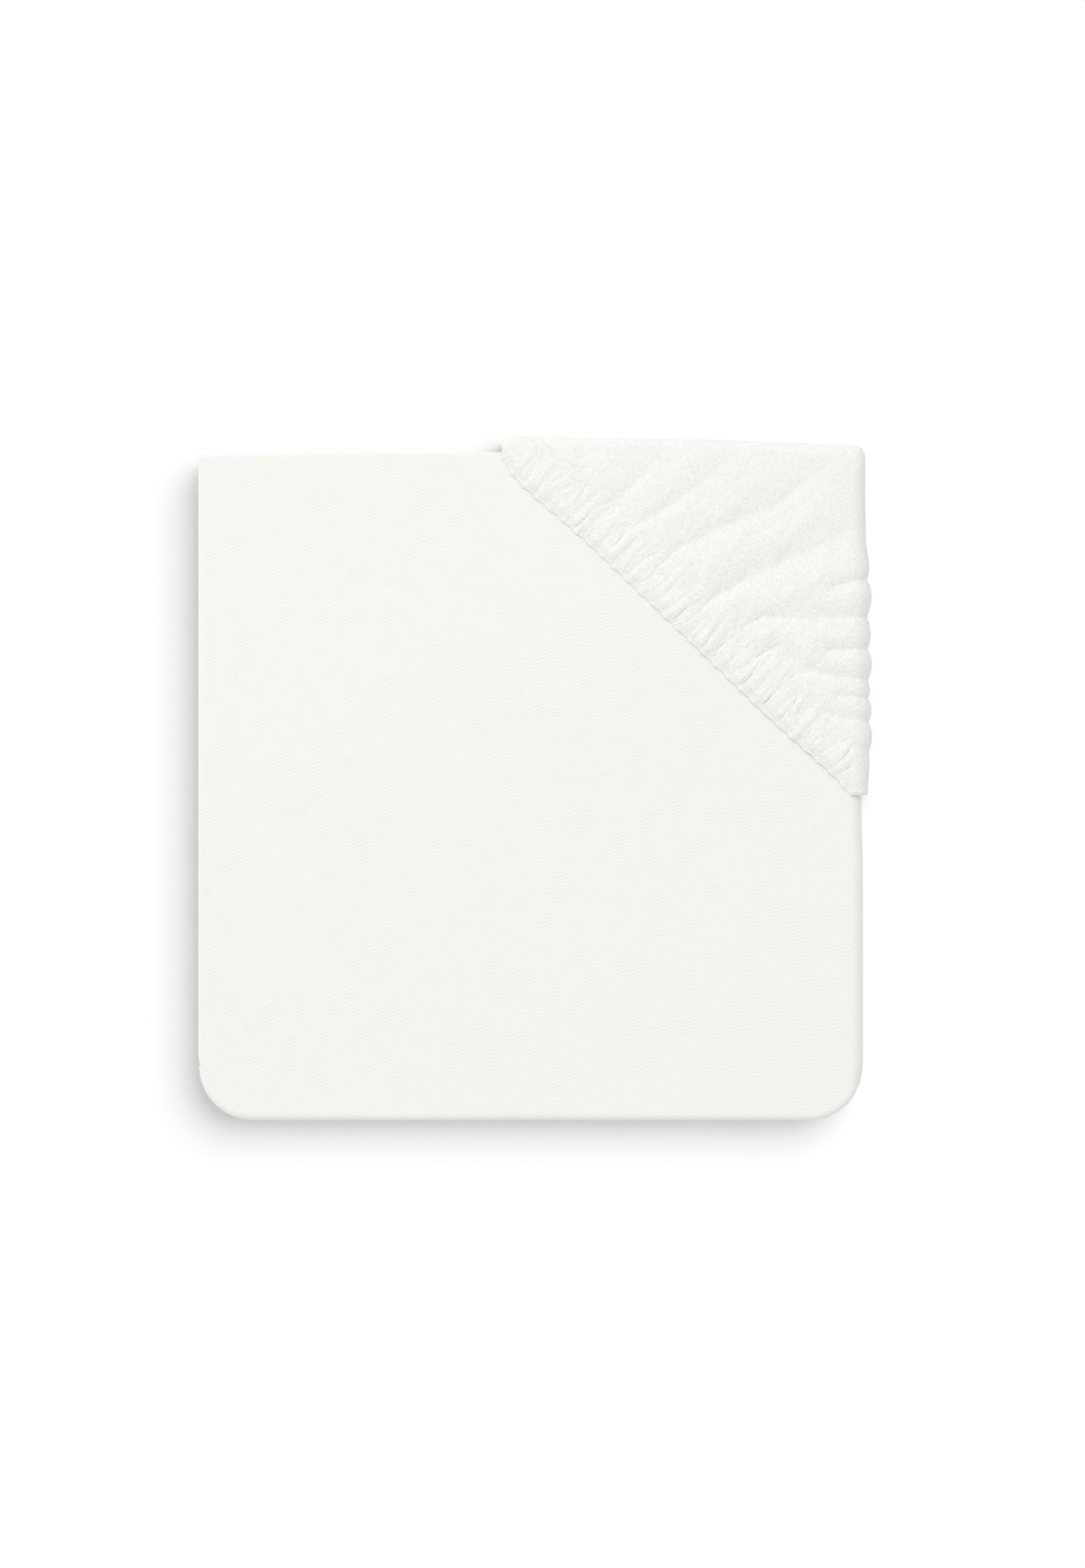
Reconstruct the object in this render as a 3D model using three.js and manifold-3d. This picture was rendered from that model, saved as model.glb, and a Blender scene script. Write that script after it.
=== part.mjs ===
// Folded changing pad cover: one panel of soft cloth with an elasticated hem, folded in half, then in
// thirds, with its back right corner turned over the stack as a pocket. Millimetres, +X right, +Y back.
import * as THREE from "three";
import Module from "manifold-3d";

// Folded stack.
const WIDTH = 294.4;
const DEPTH = 295.6;
const CORNER_RADIUS = 24;
const CLOTH = 2.5;
const LAYER_GAP = 0.5;
const PITCH = CLOTH + LAYER_GAP;
const FOLD_RADIUS = PITCH / 2;
const TURN_RADIUS = PITCH;
const TURN_REACH = TURN_RADIUS + FOLD_RADIUS + CLOTH / 2;
const FOLD_REACH = FOLD_RADIUS + CLOTH / 2;
const LEFT_TURN_INSET = 0.8;
const FREE_END_INSET = 1.2;

// Front corners: how steeply the folded edge climbs towards a turn, and how early.
const CLIMB = 1.3;
const CLIMB_POWER = 1.3;
const ARC_STOPS = 6;
const ARC_WINDOW = 0.18;
const CORNER_TUCK = 1.2;

// The front fold flattens towards a free corner, by this share at its end.
const FREE_PINCH = 0.6;
const FREE_PINCH_POWER = 6;

// Grid of the stack: steps over a flat run, a corner, a turn and the half-round front fold.
const RUN_STEPS = 6;
const CORNER_STEPS = 4;
const FREE_CORNER_STEPS = 6;
const TURN_STEPS = 8;
const FOLD_STEPS = 6;
const MIDDLE_ROWS = 3;
const BACK_STRIP = 3;

// Underside: a middle area rests flat, and the cloth lifts a little towards its borders.
const REST_X = 84;
const REST_Y = DEPTH / 2 - 30;
const FOOT_RISE = 0.4;
const FOOT_RISE_POWER = 1.5;

// The doubled cloth lies in three passes. How far its first and second layer stop short of the back
// edge, and how far its front fold lies behind the foremost one.
const PASSES = [
  { name: "bottom", firstBack: 0.8, secondBack: 2.0, front: 0.6 },
  { name: "middle", firstBack: 3.2, secondBack: 2.4, front: 1.5 },
  { name: "top", firstBack: 1.2, secondBack: 0.0, front: 0.0 },
];
const BACK_SLANT = 0.0098;
const BACK_SLANT_FROM = -60;

// The elastic pocket pulls the right side and the back of the stack in by this much.
const POCKET_TUCK = 1.5;
const POCKET_TUCK_POWER = 1.6;
const HEM_TUCK = 0.9;
const HEM_TUCK_FROM = -40;
const BACK_TUCK = 2.2;

// Softness: share by which the layers above the bottom one rise near the folds.
const REST_LIFT = 0.02;
const FRONT_LIFT = 0.07;
const SIDE_LIFT = 0.05;
const LIFT_SPREAD = 22;
const WAVE_LIFT = 0.014;

// Corner pocket.
const WALL_CLEARANCE = 0.5;
const FLAP_CLEARANCE = 0.5;
const PLAN_CORNER = 4.25;
const BASE_BEND = 2.0;
const BACK_BEND = 4.0;
const CORNER_BEND = 3.2;
const RIGHT_BEND = 6.0;
const BEND_BLEND = 14;
const JOIN_THICKNESS = 1.9;
const JOIN_INSET = 9;
const POCKET_LEFT_X = -13;
const POCKET_FRONT_Y = -4;
const LEFT_RUN_DOWN = 9;
const RIGHT_RUN_DOWN = 12;
const LOWEST_HEM = 3.6;

// Grid of the pocket: columns run from the hem over the edge and down the wall.
const BACK_COLUMNS = 27;
const ARC_COLUMNS = 3;
const RIGHT_COLUMNS = 26;
const RUN_DOWN_COLUMNS = 5;
const JOIN_ROWS = 1;
const BASE_ROWS = 2;
const WALL_ROWS = 3;
const BEND_ROWS = 3;
const FLAP_ROWS = 6;
const HEM_ROWS = 3;
const LEAST_ROW = 0.24;
const SHORT_HEM = 4;

// Hem line across the top of the stack, from the back edge to the right edge.
const HEM_LINE = [
  { x: -13.0, y: 146.8 },
  { x: -10.2, y: 140.5 },
  { x: -2.5, y: 131.5 },
  { x: 25.0, y: 107.3 },
  { x: 65.0, y: 69.0 },
  { x: 105.0, y: 30.4 },
  { x: 132.0, y: 6.0 },
  { x: 141.4, y: -4.6 },
];

// Outer face of the pocket along the back edge.
const BACK_WALL = [
  { x: -22, y: 151.6 },
  { x: -6, y: 154.2 },
  { x: 40, y: 153.8 },
  { x: 80, y: 153.2 },
  { x: 142, y: 151.0 },
];

// Elastic casing along the hem: its width at both ends, its thickness and its pleats.
const CASING_WIDE_AT_BACK = 17;
const CASING_WIDE_AT_FRONT = 12;
const CASING_PUFF = 1.0;
const PLEATS = 28;
const PLEAT_HEIGHT = 1.4;
const PLEAT_FULL_TO = 8;
const PLEAT_GONE_AT = 30;

// How far the pocket stands off the stack between its folds.
const FLAP_PUFF = 3.2;
const RIGHT_PUFF = 1.3;
const RIGHT_PUFF_BELOW_Y = 100;
const RIGHT_PUFF_ABOVE_Y = 12;
const END_TIGHTNESS = 0.9;
const EDGE_FADE = 16;

// Folds that fan out from the gathered hem: valley lines in plan.
const FOLDS = [
  { name: "back short", line: [[34, 122], [44, 132], [59, 149]], depth: 0.7, wide: 7 },
  { name: "back middle", line: [[41, 112], [59, 122], [81, 138]], depth: 0.7, wide: 7 },
  { name: "long upper", line: [[50, 92], [63, 105], [109, 124], [135, 146]], depth: 0.9, wide: 8 },
  { name: "long middle", line: [[67, 72], [83, 86], [129, 107], [149, 116]], depth: 1.0, wide: 8 },
  { name: "right level", line: [[91, 68], [103, 75], [129, 74], [149, 75]], depth: 0.9, wide: 6 },
  { name: "right falling", line: [[101, 58], [109, 61], [121, 51], [149, 43]], depth: 0.9, wide: 5 },
  { name: "right lower", line: [[111, 30], [121, 34], [131, 32], [149, 28]], depth: 0.8, wide: 5 },
  { name: "edge upper", line: [[134, 89], [149, 92]], depth: 0.7, wide: 4 },
  { name: "edge middle", line: [[132, 60], [149, 61]], depth: 0.7, wide: 4 },
  { name: "front end", line: [[124, 19], [132, 23], [149, 14]], depth: 0.7, wide: 5 },
];

const SOFT_WHITE = "#efeee9";

function mix(a, b, t) {
  return a + (b - a) * t;
}

function clamp01(t) {
  return Math.min(1, Math.max(0, t));
}

function smooth(from, to, value) {
  const t = clamp01((value - from) / (to - from));
  return t * t * (3 - 2 * t);
}

// Rise of the layers above the bottom one: fuller at the front fold and along both side folds.
function lift(x, y) {
  const front = FRONT_LIFT * Math.exp(-(y + DEPTH / 2) / LIFT_SPREAD);
  const right = SIDE_LIFT * Math.exp(-(WIDTH / 2 - x) / LIFT_SPREAD);
  const left = SIDE_LIFT * Math.exp(-(WIDTH / 2 + x) / LIFT_SPREAD);
  const wave = WAVE_LIFT * Math.sin(x / 37 + 1.3) * Math.cos(y / 43 - 0.7);
  return REST_LIFT + Math.min(front, FRONT_LIFT) + Math.min(right, SIDE_LIFT) + Math.min(left, SIDE_LIFT) + wave;
}

function raised(x, y, z) {
  const bottom = CLOTH / 2;
  return bottom + (z - bottom) * (1 + lift(x, y));
}

function footRise(x, y) {
  const sideways = Math.max(0, Math.abs(x) - REST_X) / (WIDTH / 2 - REST_X);
  const lengthways = Math.max(0, Math.abs(y) - REST_Y) / (DEPTH / 2 - REST_Y);
  return FOOT_RISE * Math.pow(Math.hypot(sideways, lengthways), FOOT_RISE_POWER);
}

// Upper face of the stack under the pocket.
function stackTop(x, y) {
  return raised(x, y, CLOTH / 2 + 5 * PITCH) + CLOTH / 2;
}

function pocketTuck(y) {
  const hem = HEM_TUCK * smooth(HEM_TUCK_FROM, 0, y);
  return hem + POCKET_TUCK * Math.pow(clamp01(y / (DEPTH / 2)), POCKET_TUCK_POWER);
}

// Soft shaping in plan: front corners drawn in a little, right side drawn in behind the pocket.
function shapedX(x, y) {
  const side = smooth(95, 138, Math.abs(x));
  const corner = CORNER_TUCK * side * smooth(-120, -138, y) * Math.sign(x);
  const pocket = x > 0 ? pocketTuck(y) * side : 0;
  return x - corner - pocket;
}

// Front edge of the doubled cloth near a turn: climb and slope at a distance along the cloth from its tip.
function climbNearTurn(distance) {
  const half = (Math.PI / 2) * TURN_RADIUS;
  const run = CORNER_RADIUS - TURN_REACH;
  if (distance >= half + run) {
    return { rise: 0, slope: 0 };
  }
  if (distance >= half) {
    const t = (half + run - distance) / run;
    const rise = (run * CLIMB * Math.pow(t, CLIMB_POWER + 1)) / (CLIMB_POWER + 1);
    return { rise, slope: CLIMB * Math.pow(t, CLIMB_POWER) };
  }
  const inside = half - distance;
  const start = (run * CLIMB) / (CLIMB_POWER + 1);
  const rise = start + CLIMB * inside - (CLIMB * inside * inside) / (2 * half);
  return { rise, slope: CLIMB * (1 - inside / half) };
}

function frontY(pass) {
  return -DEPTH / 2 + FOLD_REACH + PASSES[pass].front;
}

function passZ(pass) {
  return CLOTH / 2 + FOLD_RADIUS + pass * 2 * PITCH;
}

// One station across the doubled cloth: where its front fold lies and which way it faces.
function station(pass, share, x, z, tangent, normal, edgeY, outAlong, outY, backX) {
  return { pass, share, x, z, tangent, normal, edgeY, outAlong, outY, backX, fullness: 1 };
}

// Stations of a flat pass from one x to another, with a free rounded end or a turn at either end.
function flatStations(pass, heading, xs, turnX) {
  const normal = [0, pass === 1 ? -1 : 1];
  const tangent = [heading, 0];
  return xs.map((x) => {
    let nearest = { rise: 0, slope: 0 };
    let towards = 0;
    for (const tip of turnX) {
      const flat = Math.abs(tip - x);
      const climb = climbNearTurn(flat + (Math.PI / 2) * TURN_RADIUS);
      if (climb.rise > nearest.rise) {
        nearest = climb;
        towards = Math.sign(tip - x) * heading;
      }
    }
    const length = Math.hypot(1, nearest.slope);
    const along = (towards * nearest.slope) / length;
    const edgeY = frontY(pass) + nearest.rise;
    return station(pass, 0, x, passZ(pass), tangent, normal, edgeY, along, -1 / length, x);
  });
}

// Free end: the front fold follows the rounded corner and the cut edge takes over from it.
function freeEndStations(pass, side, heading, endX) {
  const normal = [0, 1];
  const tangent = [heading, 0];
  const centreX = endX - side * CORNER_RADIUS;
  const centreY = frontY(pass) + CORNER_RADIUS - FOLD_REACH;
  const list = [];
  for (let i = 1; i <= FREE_CORNER_STEPS; i += 1) {
    const share = i / FREE_CORNER_STEPS;
    const angle = (Math.PI / 2) * share;
    const fullness = 1 - FREE_PINCH * Math.pow(share, FREE_PINCH_POWER);
    const radius = CORNER_RADIUS - FOLD_REACH * fullness;
    const x = centreX + side * radius * Math.sin(angle);
    const edgeY = centreY - radius * Math.cos(angle);
    const backX = mix(centreX, endX, share);
    const along = Math.sin(angle) * side * heading;
    const at = station(pass, 0, x, passZ(pass), tangent, normal, edgeY, along, -Math.cos(angle), backX);
    list.push({ ...at, fullness });
  }
  return list;
}

// Turn: the doubled cloth rolls up from one pass to the next.
function turnStations(pass, side, turnX) {
  const half = (Math.PI / 2) * TURN_RADIUS;
  const centreZ = passZ(pass) + TURN_RADIUS;
  const facing = pass === 0 ? 1 : -1;
  const list = [];
  for (let i = 1; i < TURN_STEPS; i += 1) {
    const angle = (Math.PI * i) / TURN_STEPS;
    const x = turnX + side * TURN_RADIUS * Math.sin(angle);
    const z = centreZ - TURN_RADIUS * Math.cos(angle);
    const tangent = [side * Math.cos(angle), Math.sin(angle)];
    const normal = [-side * Math.sin(angle) * facing, Math.cos(angle) * facing];
    const distance = Math.abs(angle - Math.PI / 2) * TURN_RADIUS;
    const climb = climbNearTurn(Math.min(distance, half));
    const slope = angle < Math.PI / 2 ? climb.slope : -climb.slope;
    const length = Math.hypot(1, slope);
    const share = i / TURN_STEPS;
    const edgeY = mix(frontY(pass), frontY(pass + 1), share) + climb.rise;
    list.push(station(pass, share, x, z, tangent, normal, edgeY, slope / length, -1 / length, x));
  }
  return list;
}

function evenSteps(from, to, steps) {
  return Array.from({ length: steps + 1 }, (_, i) => mix(from, to, i / steps));
}

// Every station along the doubled cloth, from the free end at the bottom right to the one at the top left.
function stackStations() {
  const rightTip = WIDTH / 2 - TURN_REACH;
  const leftTip = -WIDTH / 2 + LEFT_TURN_INSET + TURN_REACH;
  const arcStart = WIDTH / 2 - CORNER_RADIUS;
  const leftArc = leftTip + CORNER_RADIUS - TURN_REACH;
  const rightArc = rightTip - CORNER_RADIUS + TURN_REACH;
  const lowEnd = WIDTH / 2 - FREE_END_INSET;
  const lowArc = lowEnd - CORNER_RADIUS;
  const toLeft = evenSteps(leftArc, leftTip, CORNER_STEPS).slice(1);
  const fromLeft = evenSteps(leftTip, leftArc, CORNER_STEPS).slice(0, -1);
  const toRight = evenSteps(rightArc, rightTip, CORNER_STEPS).slice(1);
  const fromRight = evenSteps(rightTip, rightArc, CORNER_STEPS).slice(0, -1);
  const bottomRun = [...evenSteps(lowArc, leftArc, RUN_STEPS), ...toLeft];
  const middleRun = [...fromLeft, ...evenSteps(leftArc, rightArc, RUN_STEPS), ...toRight];
  const topRun = [...fromRight, ...evenSteps(rightArc, -arcStart, RUN_STEPS)];
  return [
    ...freeEndStations(0, 1, -1, lowEnd).reverse(),
    ...flatStations(0, -1, bottomRun, [leftTip]),
    ...turnStations(0, -1, leftTip),
    ...flatStations(1, 1, middleRun, [leftTip, rightTip]),
    ...turnStations(1, 1, rightTip),
    ...flatStations(2, -1, topRun, [rightTip]),
    ...freeEndStations(2, -1, -1, -WIDTH / 2),
  ];
}

// Back edge of one layer at a station.
function backY(at, layer) {
  const next = Math.min(at.pass + 1, PASSES.length - 1);
  const key = layer < 0 ? "firstBack" : "secondBack";
  const inset = mix(PASSES[at.pass][key], PASSES[next][key], smooth(0, 1, at.share));
  const slant = BACK_SLANT * (Math.min(at.backX, 20) - BACK_SLANT_FROM);
  const pulled = BACK_TUCK * smooth(20, 120, at.backX);
  return DEPTH / 2 - inset + slant - pulled;
}

// Middle and half thickness of the cloth across one station: lower layer from the back, round the front
// fold, upper layer.
function stationPoints(at) {
  const point = (x, y, z) => {
    const newX = shapedX(x, y);
    const half = (CLOTH / 2) * (y > at.edgeY ? 1 : at.fullness);
    return { place: new THREE.Vector3(newX, y, raised(newX, y, z)), half };
  };
  const plate = (layer) => {
    const back = backY(at, layer);
    const knee = -REST_Y;
    const middle = evenSteps(knee, REST_Y, MIDDLE_ROWS);
    const stops = [at.edgeY, mix(at.edgeY, knee, 0.5), ...middle, back - BACK_STRIP, back];
    return stops.map((y) => {
      const t = clamp01((y - at.edgeY) / (knee - at.edgeY));
      const fan = t * (2 - t);
      const x = mix(at.x, at.backX, fan) + at.normal[0] * FOLD_RADIUS * layer;
      return point(x, y, at.z + at.normal[1] * FOLD_RADIUS * layer);
    });
  };
  const fold = [];
  for (let i = 1; i < FOLD_STEPS; i += 1) {
    const angle = -Math.PI / 2 + (Math.PI * i) / FOLD_STEPS;
    const out = FOLD_RADIUS * at.fullness * Math.cos(angle);
    const up = FOLD_RADIUS * Math.sin(angle);
    const x = at.x + at.normal[0] * up + at.tangent[0] * at.outAlong * out;
    const z = at.z + at.normal[1] * up + at.tangent[1] * at.outAlong * out;
    fold.push(point(x, at.edgeY + at.outY * out, z));
  }
  return [...plate(-1).reverse(), ...fold, ...plate(1)];
}

// Triangles between neighbouring rows of points; a row may have twice the steps of the one before it.
function rowTriangles(rows) {
  const starts = [];
  let total = 0;
  for (const row of rows) {
    starts.push(total);
    total += row.length;
  }
  const triangles = [];
  for (let r = 0; r + 1 < rows.length; r += 1) {
    const a = starts[r];
    const b = starts[r + 1];
    const cells = rows[r].length - 1;
    const doubled = rows[r + 1].length - 1 === 2 * cells;
    for (let c = 0; c < cells; c += 1) {
      if (doubled) {
        triangles.push([a + c, b + 2 * c + 1, b + 2 * c]);
        triangles.push([a + c, a + c + 1, b + 2 * c + 1]);
        triangles.push([a + c + 1, b + 2 * c + 2, b + 2 * c + 1]);
      } else if ((r + c) % 2 === 0) {
        triangles.push([a + c, a + c + 1, b + c + 1]);
        triangles.push([a + c, b + c + 1, b + c]);
      } else {
        triangles.push([a + c, a + c + 1, b + c]);
        triangles.push([a + c + 1, b + c + 1, b + c]);
      }
    }
  }
  return triangles;
}

// Gives a middle surface its thickness: two skins along its normals and a rim round its border.
function thicken(rows, halfThickness) {
  const points = rows.flat();
  const halves = halfThickness.flat();
  const triangles = rowTriangles(rows);
  const normals = points.map(() => new THREE.Vector3());
  for (const [a, b, c] of triangles) {
    const along = points[b].clone().sub(points[a]);
    const across = points[c].clone().sub(points[a]);
    const facing = along.cross(across);
    normals[a].add(facing);
    normals[b].add(facing);
    normals[c].add(facing);
  }
  const skin = (side) => points.map((p, i) => p.clone().addScaledVector(normals[i], side * halves[i]));
  normals.forEach((n) => n.normalize());
  const corners = [...skin(1), ...skin(-1)];
  const count = points.length;
  const faces = [];
  const border = new Map();
  for (const [a, b, c] of triangles) {
    faces.push([a, b, c], [a + count, c + count, b + count]);
    for (const [from, to] of [[a, b], [b, c], [c, a]]) {
      const back = `${to},${from}`;
      if (border.has(back)) {
        border.delete(back);
      } else {
        border.set(`${from},${to}`, [from, to]);
      }
    }
  }
  for (const [from, to] of border.values()) {
    faces.push([from, from + count, to + count], [from, to + count, to]);
  }
  return { corners, faces };
}

// Draws the front corner of each pass out to a true arc, most at its outline.
function roundCorners(corners, stations, width) {
  const sides = stations.map((at) => (at.x > 0 ? 1 : -1));
  const groups = [0];
  for (let i = 1; i < sides.length; i += 1) {
    groups.push(groups[i - 1] + (sides[i] === sides[i - 1] ? 0 : 1));
  }
  const stationOf = (i) => Math.floor((i % (stations.length * width)) / width);
  const quarter = Math.PI / 2;
  for (let group = 0; group <= groups[groups.length - 1]; group += 1) {
    const side = sides[groups.indexOf(group)];
    const middle = new THREE.Vector2(side * (WIDTH / 2 - CORNER_RADIUS), -DEPTH / 2 + CORNER_RADIUS);
    const spots = corners
      .filter((corner, i) => groups[stationOf(i)] === group)
      .map((corner) => ({ corner, away: [side * (corner.x - middle.x), middle.y - corner.y] }))
      .filter((spot) => spot.away[0] > 0 && spot.away[1] > 0)
      .map((spot) => ({ ...spot, radius: Math.hypot(...spot.away), angle: Math.atan2(...spot.away) }));
    const outline = evenSteps(0, quarter, ARC_STOPS).map((stop) => {
      const near = spots.filter((spot) => Math.abs(spot.angle - stop) <= ARC_WINDOW * quarter);
      return Math.max(...near.map((spot) => spot.radius));
    });
    for (const { corner, away, radius, angle } of spots) {
      const stop = Math.min(ARC_STOPS - 1, Math.floor((angle / quarter) * ARC_STOPS));
      const reach = mix(outline[stop], outline[stop + 1], (angle / quarter) * ARC_STOPS - stop);
      const wanted = mix(outline[0], outline[ARC_STOPS], angle / quarter);
      const factor = 1 + (wanted / reach - 1) * Math.pow(Math.min(1, radius / reach), 3);
      corner.setX(middle.x + side * away[0] * factor);
      corner.setY(middle.y - away[1] * factor);
    }
  }
}

function foldedStack() {
  const stations = stackStations();
  const rows = stations.map(stationPoints);
  const places = rows.map((row) => row.map((spot) => spot.place));
  const halves = rows.map((row) => row.map((spot) => spot.half));
  const cloth = thicken(places, halves);
  roundCorners(cloth.corners, stations, rows[0].length);
  return cloth;
}

// Pocket wall in plan: along the back edge, round the corner, down the right edge.
function backWallY(x) {
  const next = Math.max(1, BACK_WALL.findIndex((p) => p.x >= x));
  const b = x > BACK_WALL[BACK_WALL.length - 1].x ? BACK_WALL[BACK_WALL.length - 1] : BACK_WALL[next];
  const a = BACK_WALL[BACK_WALL.indexOf(b) - 1];
  return mix(a.y, b.y, clamp01((x - a.x) / (b.x - a.x))) - CLOTH / 2;
}

function rightWallX(y) {
  return WIDTH / 2 - pocketTuck(y) + WALL_CLEARANCE + CLOTH / 2;
}

function wallColumns() {
  const cornerX = rightWallX(DEPTH / 2);
  const cornerY = backWallY(cornerX);
  const arcX = cornerX - PLAN_CORNER;
  const arcY = cornerY - PLAN_CORNER;
  const columns = [];
  for (let i = -RUN_DOWN_COLUMNS; i < BACK_COLUMNS; i += 1) {
    const down = clamp01(-i / RUN_DOWN_COLUMNS);
    const x = i < 0 ? POCKET_LEFT_X - LEFT_RUN_DOWN * down : mix(POCKET_LEFT_X, arcX, i / BACK_COLUMNS);
    const bend = mix(CORNER_BEND, BACK_BEND, smooth(0, BEND_BLEND, arcX - x));
    const joinX = mix(POCKET_LEFT_X, cornerX - JOIN_INSET, i / (BACK_COLUMNS + ARC_COLUMNS / 2));
    const join = [i < 0 ? x : joinX, backWallY(x) - JOIN_INSET];
    columns.push({ wall: [x, backWallY(x)], out: [0, 1], bend, join, down, pleat: i });
  }
  for (let i = 0; i <= ARC_COLUMNS; i += 1) {
    const angle = (Math.PI / 2) * (1 - i / ARC_COLUMNS);
    const out = [Math.cos(angle), Math.sin(angle)];
    const wall = [arcX + PLAN_CORNER * out[0], arcY + PLAN_CORNER * out[1]];
    const pastMiddle = i - ARC_COLUMNS / 2;
    const step = (cornerX - JOIN_INSET - POCKET_LEFT_X) / (BACK_COLUMNS + ARC_COLUMNS / 2);
    const joinX = cornerX - JOIN_INSET + Math.min(0, pastMiddle) * step;
    const joinY = cornerY - JOIN_INSET - Math.max(0, pastMiddle) * step;
    const join = [joinX, joinY];
    columns.push({ wall, out, bend: CORNER_BEND, join, down: 0, pleat: BACK_COLUMNS + i });
  }
  for (let i = 1; i <= RIGHT_COLUMNS + RUN_DOWN_COLUMNS; i += 1) {
    const past = Math.max(0, i - RIGHT_COLUMNS) / RUN_DOWN_COLUMNS;
    const level = Math.min(1, i / RIGHT_COLUMNS);
    const y = mix(arcY, POCKET_FRONT_Y, level) - RIGHT_RUN_DOWN * past;
    const bend = mix(CORNER_BEND, RIGHT_BEND, smooth(0, BEND_BLEND, arcY - y));
    const share = (i + ARC_COLUMNS / 2) / (RIGHT_COLUMNS + ARC_COLUMNS / 2);
    const joinY = i <= RIGHT_COLUMNS ? mix(cornerY - JOIN_INSET, POCKET_FRONT_Y, share) : y;
    const join = [rightWallX(y) - JOIN_INSET, joinY];
    const pleat = BACK_COLUMNS + ARC_COLUMNS + i;
    columns.push({ wall: [rightWallX(y), y], out: [1, 0], bend, join, down: past, pleat });
  }
  return columns;
}

const hemCurve = new THREE.CatmullRomCurve3(HEM_LINE.map((p) => new THREE.Vector3(p.x, p.y, 0)));
const TOP_COLUMNS = BACK_COLUMNS + ARC_COLUMNS + RIGHT_COLUMNS;

function distanceToLine(x, y, line) {
  let least = Infinity;
  for (let i = 0; i + 1 < line.length; i += 1) {
    const [ax, ay] = line[i];
    const dx = line[i + 1][0] - ax;
    const dy = line[i + 1][1] - ay;
    const t = clamp01(((x - ax) * dx + (y - ay) * dy) / (dx * dx + dy * dy));
    least = Math.min(least, Math.hypot(x - ax - t * dx, y - ay - t * dy));
  }
  return least;
}

// How far the pocket stands off its tight shape at a plan point, between and in its folds.
function relief(x, y, fromHem) {
  const nearBack = Math.exp(-Math.max(0, backWallY(x) - y) / EDGE_FADE);
  const nearRight = Math.exp(-Math.max(0, rightWallX(y) - x) / EDGE_FADE);
  const flap = FLAP_PUFF * smooth(4, 38, fromHem) * (1 - nearBack) * (1 - nearRight);
  const belowTop = smooth(RIGHT_PUFF_BELOW_Y + 12, RIGHT_PUFF_BELOW_Y - 12, y);
  const aboveEnd = smooth(RIGHT_PUFF_ABOVE_Y - 14, RIGHT_PUFF_ABOVE_Y + 14, y);
  const right = RIGHT_PUFF * nearRight * belowTop * aboveEnd;
  let open = 1;
  for (const fold of FOLDS) {
    const away = distanceToLine(x, y, fold.line) / fold.wide;
    open *= 1 - fold.depth * Math.exp(-away * away);
  }
  return (flap + right) * open;
}

function pleatHeight(column, fromHem) {
  const phase = (column / TOP_COLUMNS) * PLEATS;
  const own = 0.72 + 0.28 * Math.sin(Math.floor(phase) * 2.4 + 0.6);
  const reach = PLEAT_GONE_AT * (0.75 + 0.25 * Math.sin(Math.floor(phase) * 1.7));
  const wave = 0.5 - 0.5 * Math.cos(2 * Math.PI * phase);
  return PLEAT_HEIGHT * own * wave * (1 - smooth(PLEAT_FULL_TO, reach, fromHem));
}

// Path of one column from the join inside the bottom layer, up the wall and over the top to the hem.
function columnPath(column) {
  const { wall, out, bend, join, down, pleat } = column;
  const baseX = wall[0] - BASE_BEND * out[0];
  const baseY = wall[1] - BASE_BEND * out[1];
  const topX = wall[0] - bend * out[0];
  const topY = wall[1] - bend * out[1];
  const topZ = stackTop(topX, topY) + FLAP_CLEARANCE + CLOTH / 2;
  const hem = hemCurve.getPointAt(clamp01(pleat / TOP_COLUMNS));
  const joinLength = Math.hypot(baseX - join[0], baseY - join[1]);
  const baseEnd = joinLength + (Math.PI / 2) * BASE_BEND;
  const wallEnd = baseEnd + topZ - bend - (CLOTH / 2 + BASE_BEND);
  const bendEnd = wallEnd + (Math.PI / 2) * bend;
  const flapLength = down > 0 ? 0 : Math.hypot(hem.x - topX, hem.y - topY);
  const full = bendEnd + flapLength;
  const length = mix(full, baseEnd + LOWEST_HEM, down);
  const at = (s) => {
    if (s <= joinLength) {
      const t = s / joinLength;
      const x = mix(join[0], baseX, t);
      const y = mix(join[1], baseY, t);
      return { x, y, z: CLOTH / 2, face: [0, 0, -1] };
    }
    if (s <= baseEnd) {
      const angle = (s - joinLength) / BASE_BEND;
      const away = BASE_BEND * Math.sin(angle);
      const face = [out[0] * Math.sin(angle), out[1] * Math.sin(angle), -Math.cos(angle)];
      const z = CLOTH / 2 + BASE_BEND * (1 - Math.cos(angle));
      return { x: baseX + out[0] * away, y: baseY + out[1] * away, z, face };
    }
    if (s <= wallEnd) {
      const z = CLOTH / 2 + BASE_BEND + s - baseEnd;
      return { x: wall[0], y: wall[1], z, face: [out[0], out[1], 0] };
    }
    if (s <= bendEnd) {
      const angle = (s - wallEnd) / bend;
      const away = bend * Math.cos(angle);
      const face = [out[0] * Math.cos(angle), out[1] * Math.cos(angle), Math.sin(angle)];
      const z = topZ - bend + bend * Math.sin(angle);
      return { x: topX + out[0] * away, y: topY + out[1] * away, z, face };
    }
    const t = flapLength > 0 ? clamp01((s - bendEnd) / flapLength) : 0;
    const x = mix(topX, hem.x, t);
    const y = mix(topY, hem.y, t);
    return { x, y, z: stackTop(x, y) + FLAP_CLEARANCE + CLOTH / 2, face: [0, 0, 1] };
  };
  return { at, length, joinLength, baseEnd, wallEnd, bendEnd, flapLength };
}

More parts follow.
